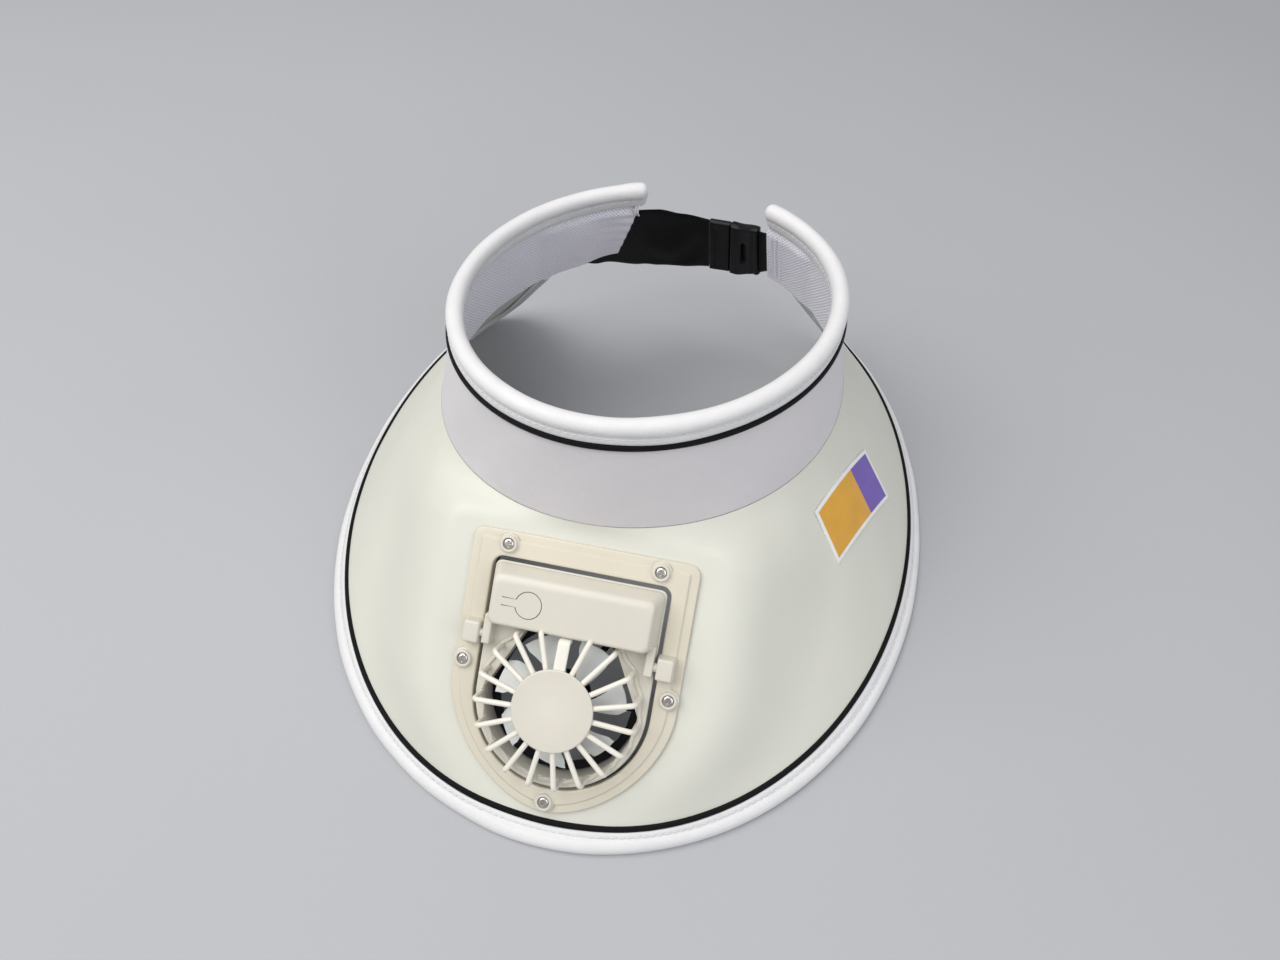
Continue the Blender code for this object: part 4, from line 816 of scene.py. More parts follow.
def padded_section(upper, lower, round_out, round_up, slot):
    """Section of a stuffed edge: a round and two strips. upper and lower are (lip, face)."""
    ends = []
    strips = []
    for lip, face in (upper, lower):
        rise = face + LIP_THICKNESS * 0.6
        angle = math.pi - math.asin(min(rise / round_up, 1.0))
        ends.append(angle)
        strips.append(strip_points(lip, round_out * math.cos(angle) - 0.0003, face))
    angle = np.linspace(ends[0] - 0.06, -ends[1] + 0.06, 22)
    bulge = np.stack([round_out * np.cos(angle), round_up * np.sin(angle)], -1)
    under = strips[1][::-1] * (1.0, -1.0)
    inside = [(-lower[0], -lower[1]), (slot, -lower[1]), (slot, upper[1]), (-upper[0], upper[1])]
    section = np.concatenate([strips[0], bulge, under, inside])
    creases = (strips[0][-1], strips[1][-1] * (1.0, -1.0))
    return section, creases, len(strips[0])


def swept(middle, out, up, section):
    """Rings of points of a section, the same at each station or one for each."""
    if section.ndim == 2:
        section = np.broadcast_to(section, (len(middle), *section.shape))
    return (middle[:, None] + out[:, None] * section[..., :1] + up[:, None] * section[..., 1:])


def crumpled(section, crease, length, seed, amount=0.00028, width=0.0016):
    """The section at each station, puckered near the crease and softly uneven elsewhere."""
    stations = np.broadcast_to(section, (len(length), *section.shape)).copy()
    near = np.exp(-((section - crease) ** 2).sum(-1) / width ** 2)
    pucker = ripple(length, 0.0065, seed)[:, None] * amount
    soft = ripple(length, 0.045, seed + 1)[:, None] * 0.00012
    outward = unit(section)
    stations += outward * (pucker * near + soft * (1.0 - near))[..., None]
    return stations


def section_uv(rings, length):
    """Cloth map in metres of swept rings."""
    around = run_length(rings[0])
    return grid_uv(length[:, None], around[None, :], sides=1)


def stitches(shells, line, along, lift, pitch=0.0034, length=0.0022, thick=0.00024, number=0):
    """Thread stitches on a line of points."""
    run = run_length(line)
    for start in np.arange(pitch, run[-1] - pitch, pitch):
        shares = np.linspace(start, start + length, 5)
        path = np.stack([np.interp(shares, run, line[:, axis]) for axis in range(3)], -1)
        place = min(int(np.searchsorted(run, start)), len(line) - 1)
        arch = np.sin(np.linspace(0.0, math.pi, 5))
        path = path + lift[place] * (arch * thick)[:, None]
        side = unit(np.cross(lift[place], along[place]))
        points, faces = bar(path, side, thick, thick, sides=6)
        shells.add(points, faces, number=number)


def make_binding(finishes):
    """Padded binding of the brim with its stitches, and the dark piping inside it."""
    middle, out, normal, length = brim_edge()
    face = BRIM_THICKNESS / 2.0 + 0.0002
    section, creases, _ = padded_section((BINDING_LIP, face), (BINDING_LIP, face), BINDING_REACH,
                                         BINDING_HALF_THICKNESS, -0.0003)
    stations = crumpled(section, creases[0], length, 11)
    turn = np.degrees(np.arctan2(middle[:, 0] - PLACE[0], PLACE[1] - middle[:, 1]))
    wider = SIDE_LIP * smooth(np.abs(turn), *SIDE_LIP_TURNS)
    strip = np.clip((creases[0][0] - section[:, 0]) / (creases[0][0] + BINDING_LIP), 0.0, 1.0)
    stations[..., 0] -= wider[:, None] * strip
    rings = swept(middle, out, normal, stations)
    rings[..., 2] = np.maximum(rings[..., 2], 0.0)
    shells = Shells().add(*tube(rings), uv=section_uv(rings, length))
    line = middle + out * (creases[0][0] - 0.0006) + normal * (creases[0][1] + 0.00035)
    stitches(shells, line, unit(np.gradient(line, axis=0)), normal)
    piece = shells.make("brim_binding_cloth", [finishes["white_cloth"]], crease=CLOTH_CREASE)
    dress(piece, "hat", "white_cloth", "brim_binding")
    low = BRIM_THICKNESS / 2.0
    angle = np.linspace(0.0, math.pi, 9)
    near = -BINDING_LIP - PIPING_WIDTH / 2.0
    dome = np.stack([near + PIPING_WIDTH / 2.0 * np.cos(angle),
                     low + PIPING_THICKNESS * np.sin(angle) ** 0.7], -1)
    rings = swept(middle - out * wider[:, None], out, normal, dome)[1:-1]
    shells = Shells().add(*tube(rings), uv=section_uv(rings, length[1:-1]))
    piece = shells.make("brim_piping_cord", [finishes["black_cloth"]], crease=CLOTH_CREASE)
    dress(piece, "hat", "black_cloth", "brim_piping")


def band_turns(share, columns):
    """Turns of the band's columns at each share: its left end is cut on the slant."""
    slant = BAND_LEFT_SLANT * np.maximum(0.0, share - POCKET_TOP) / (1.0 - POCKET_TOP)
    left = np.radians(BAND_LEFT_END + CLOTH_INSET + slant)
    right = math.radians(BAND_RIGHT_END)
    return left + (right - left) * np.linspace(0.0, 1.0, columns)[:, None]


def pocket(turn, share):
    """How far the lining stands off the band to take the strap's ends."""
    spread = math.radians(POCKET_SPREAD)
    left = math.radians(STRAP_START)
    right = math.radians(TAB_END + 360.0)
    near_end = np.maximum(smooth(-turn, -left - 2.0 * spread, -left - spread),
                          smooth(turn, right - 2.0 * spread, right - spread))
    return (STRAP_THICKNESS + 0.0003) * near_end * smooth(share, POCKET_TOP, POCKET_FULL)


def make_band(finishes):
    """Outer cloth of the head band and the mesh lining inside it."""
    share = np.linspace(0.02, 1.0, 26)
    turn = band_turns(share, BAND_COLUMNS)
    length = turn * RINGS["seam"][0]
    tight = smooth(share, 0.15, 0.4) * smooth(1.0 - share, 0.0, 0.15)
    fold = ripple(length + 0.01 * share, 0.034, 21) * 0.0004 * tight
    outer = band_point(turn, share, -fold)
    inner = band_point(turn, share, BAND_THICKNESS)
    uv = grid_uv(length, share * BAND_HEIGHT)
    piece = Shells().add(*closed_sheet(outer, inner), uv=uv).make("head_band_cloth",
                                                                   [finishes["band_cloth"]])
    dress(piece, "hat", "band_cloth", "head_band")
    share = np.linspace(0.02, 1.0, 40)
    turn = band_turns(share, BAND_COLUMNS)
    depth = BAND_THICKNESS + LINING_GAP + pocket(turn, share)
    right = math.radians(BAND_RIGHT_END)
    gathered = smooth(turn, right - 0.34, right - 0.02)
    left_gathered = smooth(-turn, math.radians(-BAND_LEFT_END) - 0.45, math.radians(-BAND_LEFT_END))
    ends = gathered * np.sin((right - turn) * RINGS["top"][0] / 0.0026 * 2.0 * math.pi)
    rows = left_gathered * np.sin(share * 15.0 * math.pi + 6.0 * (turn - turn[:1]))
    folds = 0.00042 * (ends + 0.8 * rows) * smooth(share, 0.12, 0.3) * smooth(1.0 - share, 0.0, 0.1)
    slack = 0.0005 * ripple(turn * RINGS["seam"][0], 0.03, 24) * smooth(share, 0.2, 0.5)
    outer = band_point(turn, share, depth)
    inner = band_point(turn, share, depth + LINING_THICKNESS - 0.0003 + folds + slack)
    uv = grid_uv(turn * RINGS["seam"][0], share * BAND_HEIGHT)
    piece = Shells().add(*closed_sheet(outer, inner), uv=uv).make("sweat_lining_mesh",
                                                                   [finishes["mesh_cloth"]])
    dress(piece, "hat", "mesh_cloth", "sweat_lining")


def make_roll(finishes):
    """Padded roll on the band's upper edge, its stripe, and two loose thread ends."""
    left = math.radians(BAND_LEFT_END + ROLL_INSETS[0])
    right = math.radians(BAND_RIGHT_END - ROLL_INSETS[1])
    turn = np.linspace(left, right, BAND_COLUMNS)
    middle, up, out = top_frame(turn)
    length = run_length(middle)
    outer = BAND_OFFSET + 0.0003
    inner = BAND_THICKNESS + LINING_THICKNESS + 0.0006 - BAND_OFFSET
    section, creases, _ = padded_section((OUTER_LIP, outer), (INNER_LIP, inner), ROLL_RADIUS,
                                         ROLL_RADIUS, -0.0004)
    stations = crumpled(section, creases[1], length, 31)
    swell = 1.0 + 0.09 * np.exp(-((length - 0.004) / 0.005) ** 2)
    swell += 0.05 * np.exp(-((length[-1] - 0.005 - length) / 0.006) ** 2)
    soft = smooth(stations[..., 0], -0.0045, -0.0020)
    stations *= 1.0 + (swell[:, None, None] - 1.0) * soft[..., None]
    rings = swept(middle, up, out, stations)
    along = unit(np.gradient(middle, axis=0))
    caps = []
    for end, sign in ((0, -1.0), (-1, 1.0)):
        cap = []
        for angle in np.radians(CAP_TURNS):
            ring = (rings[end] - middle[end]) * math.cos(angle)
            cap.append(middle[end] + along[end] * (sign * ROLL_RADIUS * 0.9 * math.sin(angle)) + ring)
        caps.append(np.array(cap))
    whole = np.concatenate([caps[0][::-1], rings, caps[1]])
    reach = np.concatenate([np.linspace(-0.0036, -0.0006, 5), length,
                            length[-1] + np.linspace(0.0006, 0.0036, 5)])
    shells = Shells().add(*tube(whole), uv=section_uv(whole, reach))
    for crease, side in ((creases[0], 1.0), (creases[1], -1.0)):
        line = middle + up * (crease[0] - 0.0006) + out * (crease[1] + side * 0.00035)
        stitches(shells, line, along, out * side)
    for shift, drop in TAILS:
        place = int(np.searchsorted(length, shift))
        part = np.linspace(0.0, 1.0, 9)[:, None]
        start = middle[place] - up[place] * 0.0070 - out[place] * (inner + 0.0012)
        path = start - up[place] * drop * part - out[place] * 0.0012 * np.sin(2.6 * part)
        path = path + along[place] * 0.0008 * np.sin(3.0 * part)
        shells.add(*bar(path, along[place], TAIL_RADIUS, TAIL_RADIUS, sides=8))
    piece = shells.make("band_roll_cloth", [finishes["white_cloth"]], crease=CLOTH_CREASE)
    dress(piece, "hat", "white_cloth", "band_roll")
    angle = np.linspace(0.0, math.pi, 9)
    near = -OUTER_LIP - 0.0001 - STRIPE_WIDTH / 2.0
    dome = np.stack([near + STRIPE_WIDTH / 2.0 * np.cos(angle),
                     outer - 0.0002 + (STRIPE_THICKNESS + 0.0002) * np.sin(angle) ** 0.6], -1)
    rings = swept(middle, up, out, dome)
    shells = Shells().add(*tube(rings), uv=section_uv(rings, length))
    piece = shells.make("band_stripe", [finishes["black_cloth"]], crease=CLOTH_CREASE)
    dress(piece, "hat", "black_cloth", "band_piping")


def strap_point(degrees, part, depth):
    """Points of the strap, part of the way from its top edge down, at a depth from its outside."""
    degrees, part, depth = np.broadcast_arrays(degrees, part, depth)
    course = np.array(STRAP_COURSE)
    place = np.clip(np.searchsorted(-course[:, 0], -degrees, "right") - 1, 0, len(course) - 2)
    low = course[place]
    high = course[place + 1]
    along = np.clip((low[..., 0] - degrees) / (low[..., 0] - high[..., 0]), 0.0, 1.0)
    row = low + (high - low) * smooth(along, 0.0, 1.0)[..., None]
    top, bottom, flare = row[..., 1], row[..., 2], row[..., 3]
    turn = np.radians(degrees)
    inward = BAND_THICKNESS + 0.0003 + depth
    flared = band_point(turn, top + (bottom - top) * part, inward)
    upright = band_point(turn, (top + bottom) / 2.0, inward)
    upright[..., 2] = flared[..., 2]
    return upright + (flared - upright) * flare[..., None]


def strap_degrees(length):
    return math.degrees(length / (RINGS["top"][0] + RINGS["seam"][0]) * 2.0)


def strap_cloth(name, first, last, low, high, finishes, node, seed):
    """Stretch of elastic strap with its ribbed faces and soft folds."""
    count = max(int(abs(last - first) * 2.4), 16)
    degrees = np.linspace(first, last, count)[:, None]
    part = np.linspace(low, high, 28)
    length = degrees * math.radians(1.0) * RINGS["seam"][0]
    calm = smooth(np.abs(degrees - first), 22.0, 34.0) * smooth(np.abs(degrees - last), 0.0, 4.0)
    calm = calm * smooth(part, 0.0, 0.25) * smooth(1.0 - part, 0.0, 0.25)
    fold = 0.0007 * calm * np.sin(part * 9.0 + 2.0 * ripple(length, 0.05, seed))
    thin = 0.5 * STRAP_THICKNESS * (1.0 - smooth(np.minimum(part - low, high - part), 0.0, 0.02))
    outer = strap_point(degrees, part, thin - fold)
    inner = strap_point(degrees, part, STRAP_THICKNESS - thin - fold)
    uv = grid_uv(length, part * BAND_HEIGHT)
    piece = Shells().add(*closed_sheet(outer, inner), uv=uv).make(name, [finishes["black_cloth"]],
                                                                   crease=70.0)
    dress(piece, "hat", "black_cloth", node)
    return piece, outer


def moulded_plate(first, last, half, relief, low=0.0, high=1.0, edge=0.0013):
    """Plate on the strap's course with rounded edges and a relief on its inner face."""
    length = abs(last - first) / strap_degrees(1.0)
    bend = (1.0 - np.cos(np.linspace(0.0, math.pi, 9))) / 2.0
    wide = np.unique(np.concatenate([bend[:5] * 2.0 * edge / length, np.linspace(0.0, 1.0, 40),
                                     1.0 - bend[:5] * 2.0 * edge / length]))[:, None]
    height = BUCKLE_HEIGHT
    tall = np.unique(np.concatenate([bend[:5] * 2.0 * edge / height, np.linspace(0.0, 1.0, 60),
                                     1.0 - bend[:5] * 2.0 * edge / height]))[None, :]
    border = np.minimum(np.minimum(wide, 1.0 - wide) * length, np.minimum(tall, 1.0 - tall) * height)
    rise = half * np.sqrt(1.0 - (1.0 - np.clip(border / edge, 0.0, 1.0)) ** 2)
    degrees = first + (last - first) * wide
    part = low + (high - low) * tall
    middle = STRAP_THICKNESS / 2.0
    front = strap_point(degrees, part, middle + rise + relief(wide * length, tall))
    back = strap_point(degrees, part, middle - rise - 0.00002)
    return closed_sheet(front, back)


def groove(value, place, half):
    """1 within half of a place, 0 away from it, with steep sides."""
    return 1.0 - smooth(np.abs(value - place), half * 0.8, half * 1.15)


def make_strap(finishes):
    """Elastic strap, its short end, and the two halves of the buckle."""
    gap = strap_degrees(0.0003)
    clip_end = CLIP_START - strap_degrees(CLIP_LENGTH)
    socket_start = clip_end - gap * 0.2
    socket_end = socket_start - strap_degrees(SOCKET_LENGTH)
    strap, outer = strap_cloth("elastic_strap", STRAP_START, CLIP_START + gap, 0.0, 1.0, finishes,
                               "back_strap", 41)
    tab, outer = strap_cloth("elastic_strap_end", socket_end - gap, TAB_END, 0.04, 0.96, finishes,
                             "strap_tab", 43)

    def clip_relief(run, tall):
        return -CLIP_GROOVE * groove(run, CLIP_LENGTH * 0.30, 0.0009) * groove(tall, 0.5, 0.42)

    def socket_relief(run, tall):
        window = groove(run, SOCKET_LENGTH * 0.50, WINDOW_LENGTH / 2.0)
        window = window * groove(tall, 0.5, WINDOW_HEIGHT / BUCKLE_HEIGHT / 2.0)
        line = groove(run, SOCKET_LENGTH * 0.80, 0.0003)
        ledge = smooth(run, SOCKET_LENGTH * 0.80, SOCKET_LENGTH * 0.84)
        return -WINDOW_DEPTH * window - LINE_DEPTH * line - LEDGE_DEPTH * ledge

    for name, node, first, last, half, relief in (
            ("buckle_clip_moulded", "buckle_clip", CLIP_START, clip_end, CLIP_THICKNESS / 2.0,
             clip_relief),
            ("buckle_socket_moulded", "buckle_socket", socket_start, socket_end,
             SOCKET_THICKNESS / 2.0, socket_relief)):
        shells = Shells().add(*moulded_plate(first, last, half, relief))
        piece = shells.make(name, [finishes["black_plastic"]])
        dress(piece, "hat", "black_plastic", node)


def levelled(loops):
    """Rings of seat points from (outline, height) pairs."""
    return np.array([np.column_stack([loop, np.full(len(loop), height)]) for loop, height in loops])


def make_frame(finishes):
    """Moulded frame of the fan, with its step, screw bosses and ears."""
    edge = 0.0006
    loops = [(frame_outline(), FRAME_LOW)]
    for grow, height in rounding(edge, (-edge, FLANGE_TOP - edge), 0.0, 90.0):
        loops.append((frame_outline(grow), height))
    loops.append((frame_outline(-STEP_INSET + 0.0006), FLANGE_TOP))
    for part in (0.12, 0.5, 0.88):
        rise = float(smooth(part, 0.0, 1.0))
        loops.append((frame_outline(-STEP_INSET - 0.0012 * part),
                      FLANGE_TOP + (STEP_TOP - FLANGE_TOP) * rise))
    loops.append((frame_outline(-STEP_INSET - 0.0016), STEP_TOP))
    loops.append((opening_outline(0.0016), STEP_TOP))
    for grow, height in rounding(0.0008, (0.0008, STEP_TOP - 0.0008), 90.0, 180.0):
        loops.append((opening_outline(grow), height))
    loops.append((opening_outline(), -BRIM_THICKNESS))
    loops.append((opening_outline(FRAME_COLLAR), -BRIM_THICKNESS))
    loops.append((opening_outline(FRAME_COLLAR), FRAME_LOW))
    shells = Shells().add(*tube(levelled(loops), ring=True))
    hollow = SCREW_HEAD_RADIUS + 0.0003
    for x, y in SCREW_PLACES:
        profile = [(0.0, STEP_TOP - 0.0004), (BOSS_RADIUS + 0.0009, STEP_TOP - 0.0004),
                   (BOSS_RADIUS + 0.0008, STEP_TOP + 0.0001), (BOSS_RADIUS + 0.0003, STEP_TOP + 0.0003),
                   (BOSS_RADIUS, STEP_TOP + 0.0008)]
        profile += rounding(0.0005, (BOSS_RADIUS - 0.0005, BOSS_TOP - 0.0005), 0.0, 90.0)
        profile += rounding(0.0003, (hollow + 0.0003, BOSS_TOP - 0.0003), 90.0, 180.0)
        profile += [(hollow, SCREW_HEAD_LOW - 0.0002), (0.0, SCREW_HEAD_LOW - 0.0002)]
        shells.add(*turned(profile, 40, x, y), number=1)
    for side in (-1.0, 1.0):
        near = POD_HALF_WIDTH + EAR_GAP
        left, right = sorted((side * near, side * (near + EAR_WIDTH)))
        half = EAR_LENGTH / 2.0
        shells.add(*soft_box((left, -half, FLANGE_TOP - 0.001), (right, half, EAR_HEIGHT), 0.0011,
                             0.0006), number=1)
        shells.add(*soft_box((left + 0.0004, -half - 0.0016, FLANGE_TOP - 0.001),
                             (right - 0.0004, -half + 0.0040, EAR_HEIGHT * 0.62),
                             0.0010, 0.0008), number=1)
    piece = shells.make("fan_frame_moulded", [finishes["frame_plastic"], finishes["cream_plastic"]],
                        on_seat=True)
    dress(piece, "hat", "cream_plastic", "fan_frame")


def make_screws(finishes):
    """Pan-head screws with a cross recess."""
    for number, (x, y) in enumerate(SCREW_PLACES, 1):
        radius = np.linspace(1.0, 0.0, 26) ** 0.9 * SCREW_HEAD_RADIUS
        angle = np.linspace(0.0, 2.0 * math.pi, 72, endpoint=False)
        across = radius[:-1, None] * np.cos(angle)
        up = radius[:-1, None] * np.sin(angle)
        dome = SCREW_HEAD_LOW + 0.0004 + HEAD_DOME * np.sqrt(
            np.clip(1.0 - (radius[:-1, None] / SCREW_HEAD_RADIUS) ** 4, 0.0, 1.0))
        arms = np.minimum(np.abs(across), np.abs(up))
        reach = np.maximum(np.abs(across), np.abs(up))
        cross = (1.0 - smooth(arms, *RECESS_ARM)) * (1.0 - smooth(reach, *RECESS_REACH))
        height = dome - RECESS_DEPTH * cross
        head = np.stack([x + across, y + up, height], -1)
        rim = head[:1].copy()
        rim[..., 2] = SCREW_HEAD_LOW
        neck = head[0] * (1.0, 1.0, 0.0) - (x, y, 0.0)
        shank = neck * (SCREW_SHANK_RADIUS / SCREW_HEAD_RADIUS) + (x, y, 0.0)
        low = shank + (0.0, 0.0, SCREW_END)
        high = shank + (0.0, 0.0, SCREW_HEAD_LOW)
        rings = np.concatenate([low[None], high[None], rim, head])
        shells = Shells().add(*tube(rings))
        piece = shells.make(f"screw_{number}_plated", [finishes["screw_metal"]], on_seat=True)
        dress(piece, "hat", "screw_metal", f"screw_{number}")


def bore_outline(shrink=0.0):
    """Round bore of the pod, cut off by the wall of the battery box."""
    loop = pod_outline()
    outward = unit(loop - (0.0, FAN_CENTRE))
    bore = (0.0, FAN_CENTRE) + outward * (FAN_BORE + shrink)
    bore[:, 1] = np.minimum(bore[:, 1], BOX_LOWER - 0.0008 + shrink)
    return bore


def rounded_rectangle(left, right, low, high, corner, steps=9):
    pieces = []
    for x, y, first in ((right, low, -90.0), (right, high, 0.0), (left, high, 90.0),
                        (left, low, 180.0)):
        angle = np.radians(np.linspace(first, first + 90.0, steps))
        inward_x = x - corner if x == right else x + corner
        inward_y = y - corner if y == high else y + corner
        pieces.append(np.stack([inward_x + corner * np.cos(angle),
                                inward_y + corner * np.sin(angle)], -1))
    return np.concatenate(pieces)


def box_loops():
    """Rings of the battery box: soft bevels, and a gentle slope on its upper side."""
    side = POD_HALF_WIDTH - 0.0006
    high = POD_REACH - 0.0006
    loops = [(rounded_rectangle(-side, side, BOX_LOWER, high, 0.0030), POD_FACE - 0.0015),
             (rounded_rectangle(-side, side, BOX_LOWER, high, 0.0030), POD_FACE + 0.0012)]
    shoulder = BOX_TOP - 0.0022
    for part in (0.15, 0.4, 0.7, 1.0):
        inset = BOX_SIDE_INSET * part
        loops.append((rounded_rectangle(-side + inset, side - inset, BOX_LOWER,
                                        high - BOX_UPPER_INSET * part, 0.0030),
                      POD_FACE + 0.0012 + (shoulder - POD_FACE - 0.0012) * part))
    for angle in np.radians((22.0, 45.0, 68.0, 90.0)):
        inset = BOX_SIDE_INSET + 0.0018 * (1.0 - math.cos(angle))
        low = BOX_LOWER + 0.0014 * (1.0 - math.cos(angle))
        up = high - BOX_UPPER_INSET - 0.0040 * (1.0 - math.cos(angle))
        height = shoulder + (BOX_TOP - shoulder) * math.sin(angle)
        loops.append((rounded_rectangle(-side + inset, side - inset, low, up, 0.0030), height))
    loops.append((rounded_rectangle(-side + 0.0048, side - 0.0048, BOX_LOWER + 0.0020,
                                    high - 0.0075, 0.0026), BOX_TOP))
    return loops


def button_slit():
    """Outline of the slit that leaves the round button on a tongue."""
    x, y = BUTTON_PLACE
    tail = math.asin(0.3)
    angle = np.linspace(math.pi + tail, 3.0 * math.pi - tail, 49)
    half = BUTTON_SLIT / 2.0
    circle = np.stack([np.cos(angle), np.sin(angle)], -1)
    far = x - BUTTON_RADIUS - BUTTON_TAIL
    low = y - BUTTON_RADIUS * 0.3
    high = y + BUTTON_RADIUS * 0.3
    return np.concatenate([[(far, low - half)], (x, y) + circle * (BUTTON_RADIUS + half),
                           [(far, high + half), (far, high - half)],
                           ((x, y) + circle * (BUTTON_RADIUS - half))[::-1], [(far, low + half)]])


def cut_with(piece, cutter):
    """Cut a cutter's shape out of a piece, for good."""
    boolean = piece.modifiers.new("cut", "BOOLEAN")
    boolean.operation = "DIFFERENCE"
    boolean.solver = "EXACT"
    boolean.object = cutter
    graph = bpy.context.evaluated_depsgraph_get()
    graph.update()
    mesh = bpy.data.meshes.new_from_object(piece.evaluated_get(graph))
    piece.modifiers.clear()
    piece.data = mesh
    bpy.data.objects.remove(cutter)
    mesh.shade_smooth()
    mesh.set_sharp_from_angle(angle=math.radians(CREASE))


def make_pod(finishes):
    """Tub of the fan, with the battery box, its button, the lugs and the pins."""
    edge = 0.0009
    loops = [(pod_outline(-POD_DRAFT), -POD_DEPTH), (pod_outline(-0.0004), PIVOT_HEIGHT - 0.0048)]
    for grow, height in rounding(edge, (-edge, POD_FACE - edge), 0.0, 90.0):
        loops.append((pod_outline(grow), height))
    loops.append((bore_outline(0.0007), POD_FACE))
    for shrink, height in rounding(0.0005, (0.0005, POD_FACE - 0.0005), 90.0, 180.0):
        loops.append((bore_outline(shrink), height))
    loops.append((bore_outline(), -POD_DEPTH))
    shells = Shells().add(*tube(levelled(loops), ring=True))
    for side in (-1.0, 1.0):
        left, right = sorted((side * (POD_HALF_WIDTH - LUG_WIDTH), side * (POD_HALF_WIDTH - 0.0002)))
        shells.add(*soft_box((left, -LUG_LENGTH, 0.001), (right, BOX_LOWER + 0.003, LUG_HEIGHT),
                             0.0009, 0.0003))
        start = side * (POD_HALF_WIDTH - 0.003)
        end = side * (POD_HALF_WIDTH + PIN_LENGTH)
        path = np.array([(x, 0.0, PIVOT_HEIGHT) for x in np.linspace(start, end, 4)])
        shells.add(*bar(path, np.array([0.0, 1.0, 0.0]), PIN_RADIUS, PIN_RADIUS, sides=24))
    piece = shells.make("pod_tub_moulded", [finishes["cream_plastic"]], on_seat=True)
    dress(piece, "pod", "cream_plastic", "pod_shell")
    box = Shells().add(*tube(levelled(box_loops()))).make("battery_box_moulded",
                                                          [finishes["cream_plastic"]], True)
    slit = button_slit()
    cutter = Shells().add(*tube(levelled([(slit, BOX_TOP - 0.0015), (slit, BOX_TOP + 0.001)])))
    cut_with(box, cutter.make("slit_cutter", [finishes["cream_plastic"]], True))
    dress(box, "pod", "cream_plastic")


def radial(angle, distance, height):
    """Seat points at distances from the fan's centre."""
    distance, height = np.broadcast_arrays(distance, height)
    return np.stack([-math.sin(angle) * distance, FAN_CENTRE + math.cos(angle) * distance, height],
                    -1)


def rib_path(angle, reach, stand, bend):
    """Centre line of a rib from the disc out, round its knee and down."""
    start = DISC_RADIUS - 0.0021
    first = DISC_TOP - 0.0008 - RIB_RADIUS
    knee = KNEE_HEIGHT - RIB_RADIUS
    line = np.linspace(0.0, 1.0, 6)
    distance = list(start + (reach - bend - start) * line)
    height = list(first + (knee - first) * line)
    for turn in np.radians((15.0, 30.0, 45.0, 60.0, 75.0, 90.0)):
        distance.append(reach - bend + bend * math.sin(turn))
        height.append(knee - bend + bend * math.cos(turn))
    if stand < knee - bend - 0.0005:
        distance += [reach + 0.0001, reach + 0.0002]
        height += [(knee - bend + stand) / 2.0, stand]
    return radial(angle, np.array(distance), np.array(height))


def make_grille(finishes):
    """Flat disc with round ribs that bend down onto a wavy foot ring."""
    edge = 0.0006
    profile = [(0.0, DISC_TOP - DISC_THICKNESS), (DISC_RADIUS - 0.0012, DISC_TOP - DISC_THICKNESS)]
    profile += [(DISC_RADIUS, DISC_TOP - DISC_THICKNESS + 0.0006)]
    profile += rounding(edge, (DISC_RADIUS - edge, DISC_TOP - edge), 0.0, 90.0, 6)
    profile += [(DISC_RADIUS - 0.0012, DISC_TOP), (0.0, DISC_TOP)]
    shells = Shells().add(*turned(profile, 96, 0.0, FAN_CENTRE))
    wall = BOX_LOWER - 0.0011 - FAN_CENTRE
    for number in range(GRILLE_RIBS):
        angle = 2.0 * math.pi * number / GRILLE_RIBS
        across = np.array([math.cos(angle), math.sin(angle), 0.0])
        reach = GRILLE_RADIUS - RIB_RADIUS
        if number == 0:
            path = rib_path(angle, wall - 0.0002, KNEE_HEIGHT - 0.005, 0.0012)
            shells.add(*bar(path, across, WIDE_RIB_WIDTH / 2.0, 0.0010, 5.0, 28), number=1)
        elif GRILLE_RADIUS * math.cos(angle) > wall:
            path = rib_path(angle, (wall + 0.0030) / math.cos(angle) - RIB_RADIUS, BOX_TOP, 0.0013)
            shells.add(*bar(path, across, RIB_RADIUS, RIB_RADIUS), number=1)
        else:
            path = rib_path(angle, reach, POD_FACE + 0.0001, 0.0024)
            shells.add(*bar(path, across, RIB_RADIUS, RIB_RADIUS), number=1)
    limit = math.acos((BOX_LOWER - 0.0004 - FAN_CENTRE) / GRILLE_RADIUS) + 0.03
    turn = np.linspace(limit, 2.0 * math.pi - limit, 260)
    wave = 0.0005 * np.cos(GRILLE_RIBS * turn)
    path = np.stack([-np.sin(turn) * (FAN_BORE + 0.0011 + wave),
                     FAN_CENTRE + np.cos(turn) * (FAN_BORE + 0.0011 + wave),
                     np.full_like(turn, POD_FACE + 0.0004)], -1)
    lift = np.array([0.0, 0.0, 1.0])
    shells.add(*bar(path, lift, 0.0007, 0.0009, 2.5, 10))
    piece = shells.make("fan_grille_moulded", [finishes["cream_plastic"], finishes["pale_plastic"]],
                        on_seat=True)
    dress(piece, "pod", "cream_plastic", "fan_grille")


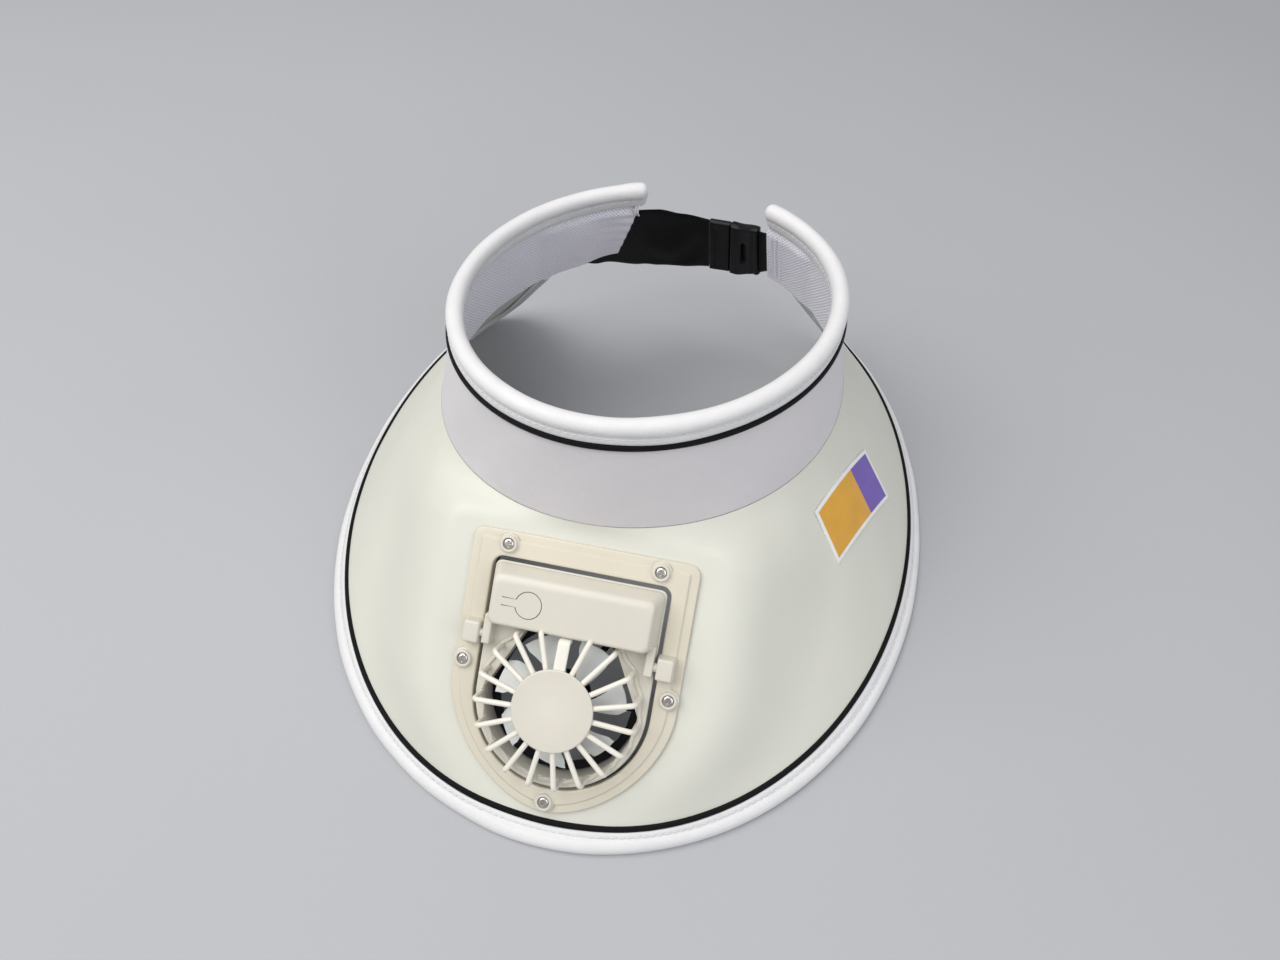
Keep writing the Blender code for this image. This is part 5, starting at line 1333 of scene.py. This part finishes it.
def make_impeller(finishes):
    """Hub with swept blades."""
    low = HUB_TOP - HUB_HEIGHT
    profile = [(0.0, low + 0.003), (HUB_RADIUS - 0.0012, low + 0.003), (HUB_RADIUS - 0.0012, low),
               (HUB_RADIUS, low)]
    profile += rounding(0.0012, (HUB_RADIUS - 0.0012, HUB_TOP - 0.0012), 0.0, 90.0)
    profile += [(0.0035, HUB_TOP), (0.003, HUB_TOP - 0.0004), (0.0, HUB_TOP - 0.0004)]
    shells = Shells().add(*turned(profile, 56, 0.0, FAN_CENTRE))
    across = np.linspace(-0.5, 0.5, 13)
    radius = np.linspace(HUB_RADIUS - 0.0006, IMPELLER_RADIUS, 16)[:, None]
    part = (radius - HUB_RADIUS) / (IMPELLER_RADIUS - HUB_RADIUS)
    thick = BLADE_THICKNESS / 2.0 * np.sqrt(1.0 - (2.0 * across) ** 4 * 0.98)
    for number in range(IMPELLER_BLADES):
        sweep = math.radians(BLADE_SPAN) * (0.75 + 0.25 * part) * (1.0 - 0.2 * smooth(part, 0.8, 1.0))
        angle = 2.0 * math.pi * number / IMPELLER_BLADES + sweep * across + 0.25 * part
        height = low + 0.0010 + BLADE_HEIGHT * (0.5 + across * 0.8 - 0.10 * part * np.cos(3.0 * across))
        faces = []
        for side in (1.0, -1.0):
            faces.append(np.stack([radius * np.cos(angle), FAN_CENTRE + radius * np.sin(angle),
                                   height + side * thick], -1))
        shells.add(*closed_sheet(*faces))
    piece = shells.make("impeller_moulded", [finishes["impeller_plastic"]], on_seat=True)
    dress(piece, "impeller", "impeller_plastic", "impeller")


def brim_plate(corners, across, down, low, high):
    """Thin plate on the brim over a part of the way across and down between four corners."""
    down = np.linspace(*down, 10)[:, None, None]
    across = np.linspace(*across, 14)[None, :, None]
    upper = corners[0] + (corners[1] - corners[0]) * across
    lower = corners[3] + (corners[2] - corners[3]) * across
    place = upper + (lower - upper) * down - PLACE
    turn = np.arctan2(place[..., 0], -place[..., 1])
    near, far = (np.hypot(*(ring_point(name, turn) - PLACE)[..., :2].transpose(2, 0, 1))
                 for name in ("seam", "rim"))
    share = (np.hypot(place[..., 0], place[..., 1]) - near) / (far - near)
    face = brim_face(turn, share)
    normal = brim_normal(turn, share)
    return closed_sheet(face + normal * high, face + normal * low)


def make_patch(finishes):
    """Plain patch in two colours with a pale border."""
    turn, share = np.array(PATCH_CORNERS).T
    corners = brim_face(np.radians(turn), share)
    side = PATCH_BORDER / np.linalg.norm(corners[1] - corners[0])
    end = PATCH_BORDER / np.linalg.norm(corners[3] - corners[0])
    shells = Shells().add(*brim_plate(corners, (0.0, 1.0), (0.0, 1.0), 0.0002, 0.0007))
    for number, across in ((1, (side, PATCH_SPLIT)), (2, (PATCH_SPLIT, 1.0 - side))):
        shells.add(*brim_plate(corners, across, (end, 1.0 - end), 0.0004, 0.00078), number=number)
    piece = shells.make("patch_two_colour", [finishes["patch_paper"], finishes["patch_amber"],
                                             finishes["patch_violet"]])
    dress(piece, "hat", "patch_print", "label_patch")


def finish_packed_nodes(finishes):
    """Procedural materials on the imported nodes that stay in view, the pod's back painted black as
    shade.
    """
    # The pod's back takes the black finish as painted shade: a dark sheet where the gaps between the
    # blades fall in shade, though its own plastic is cream.
    for name, slot in (("clamp_ring", "black_plastic"), ("pod_back", "black_plastic"),
                       ("motor", "motor_metal")):
        for place in frame["nodes"][name].material_slots:
            place.material = finishes[slot]


def make_stage(finishes):
    """Pale floor, soft lights and the camera."""
    half = FLOOR_HALF
    floor = Shells().add([(-half, -half, 0.0), (half, -half, 0.0), (half, half, 0.0),
                          (-half, half, 0.0)], [[0, 1, 2, 3]])
    floor.make("floor", [finishes["floor"]])
    scene = bpy.context.scene
    world = bpy.data.worlds.new("studio")
    world.use_nodes = True
    world.node_tree.nodes["Background"].inputs["Color"].default_value = SKY_COLOUR
    world.node_tree.nodes["Background"].inputs["Strength"].default_value = SKY_STRENGTH
    scene.world = world
    scene.view_settings.view_transform = "Standard"
    for name, place, size, power, colour in LIGHTS:
        light = bpy.data.lights.new(name, "AREA")
        light.size = size
        light.energy = power
        light.color = colour
        lamp = bpy.data.objects.new(name, light)
        lamp.location = place
        aim = -np.array(place)
        lamp.rotation_euler = (math.atan2(math.hypot(aim[0], aim[1]), -aim[2]), 0.0,
                               math.atan2(-aim[0], aim[1]))
        scene.collection.objects.link(lamp)
    lens = bpy.data.cameras.new("camera")
    lens.lens = CAMERA_LENS
    lens.sensor_width = SENSOR_WIDTH
    lens.clip_start = 0.01
    camera = bpy.data.objects.new("camera", lens)
    camera.location = CAMERA_PLACE
    camera.rotation_euler = [math.radians(part) for part in CAMERA_TURN]
    scene.collection.objects.link(camera)
    scene.camera = camera


def main():
    finishes = make_finishes()
    make_stage(finishes)
    make_brim(finishes)
    make_binding(finishes)
    make_band(finishes)
    make_roll(finishes)
    make_strap(finishes)
    make_frame(finishes)
    make_screws(finishes)
    make_pod(finishes)
    make_grille(finishes)
    make_impeller(finishes)
    make_patch(finishes)
    finish_packed_nodes(finishes)


main()
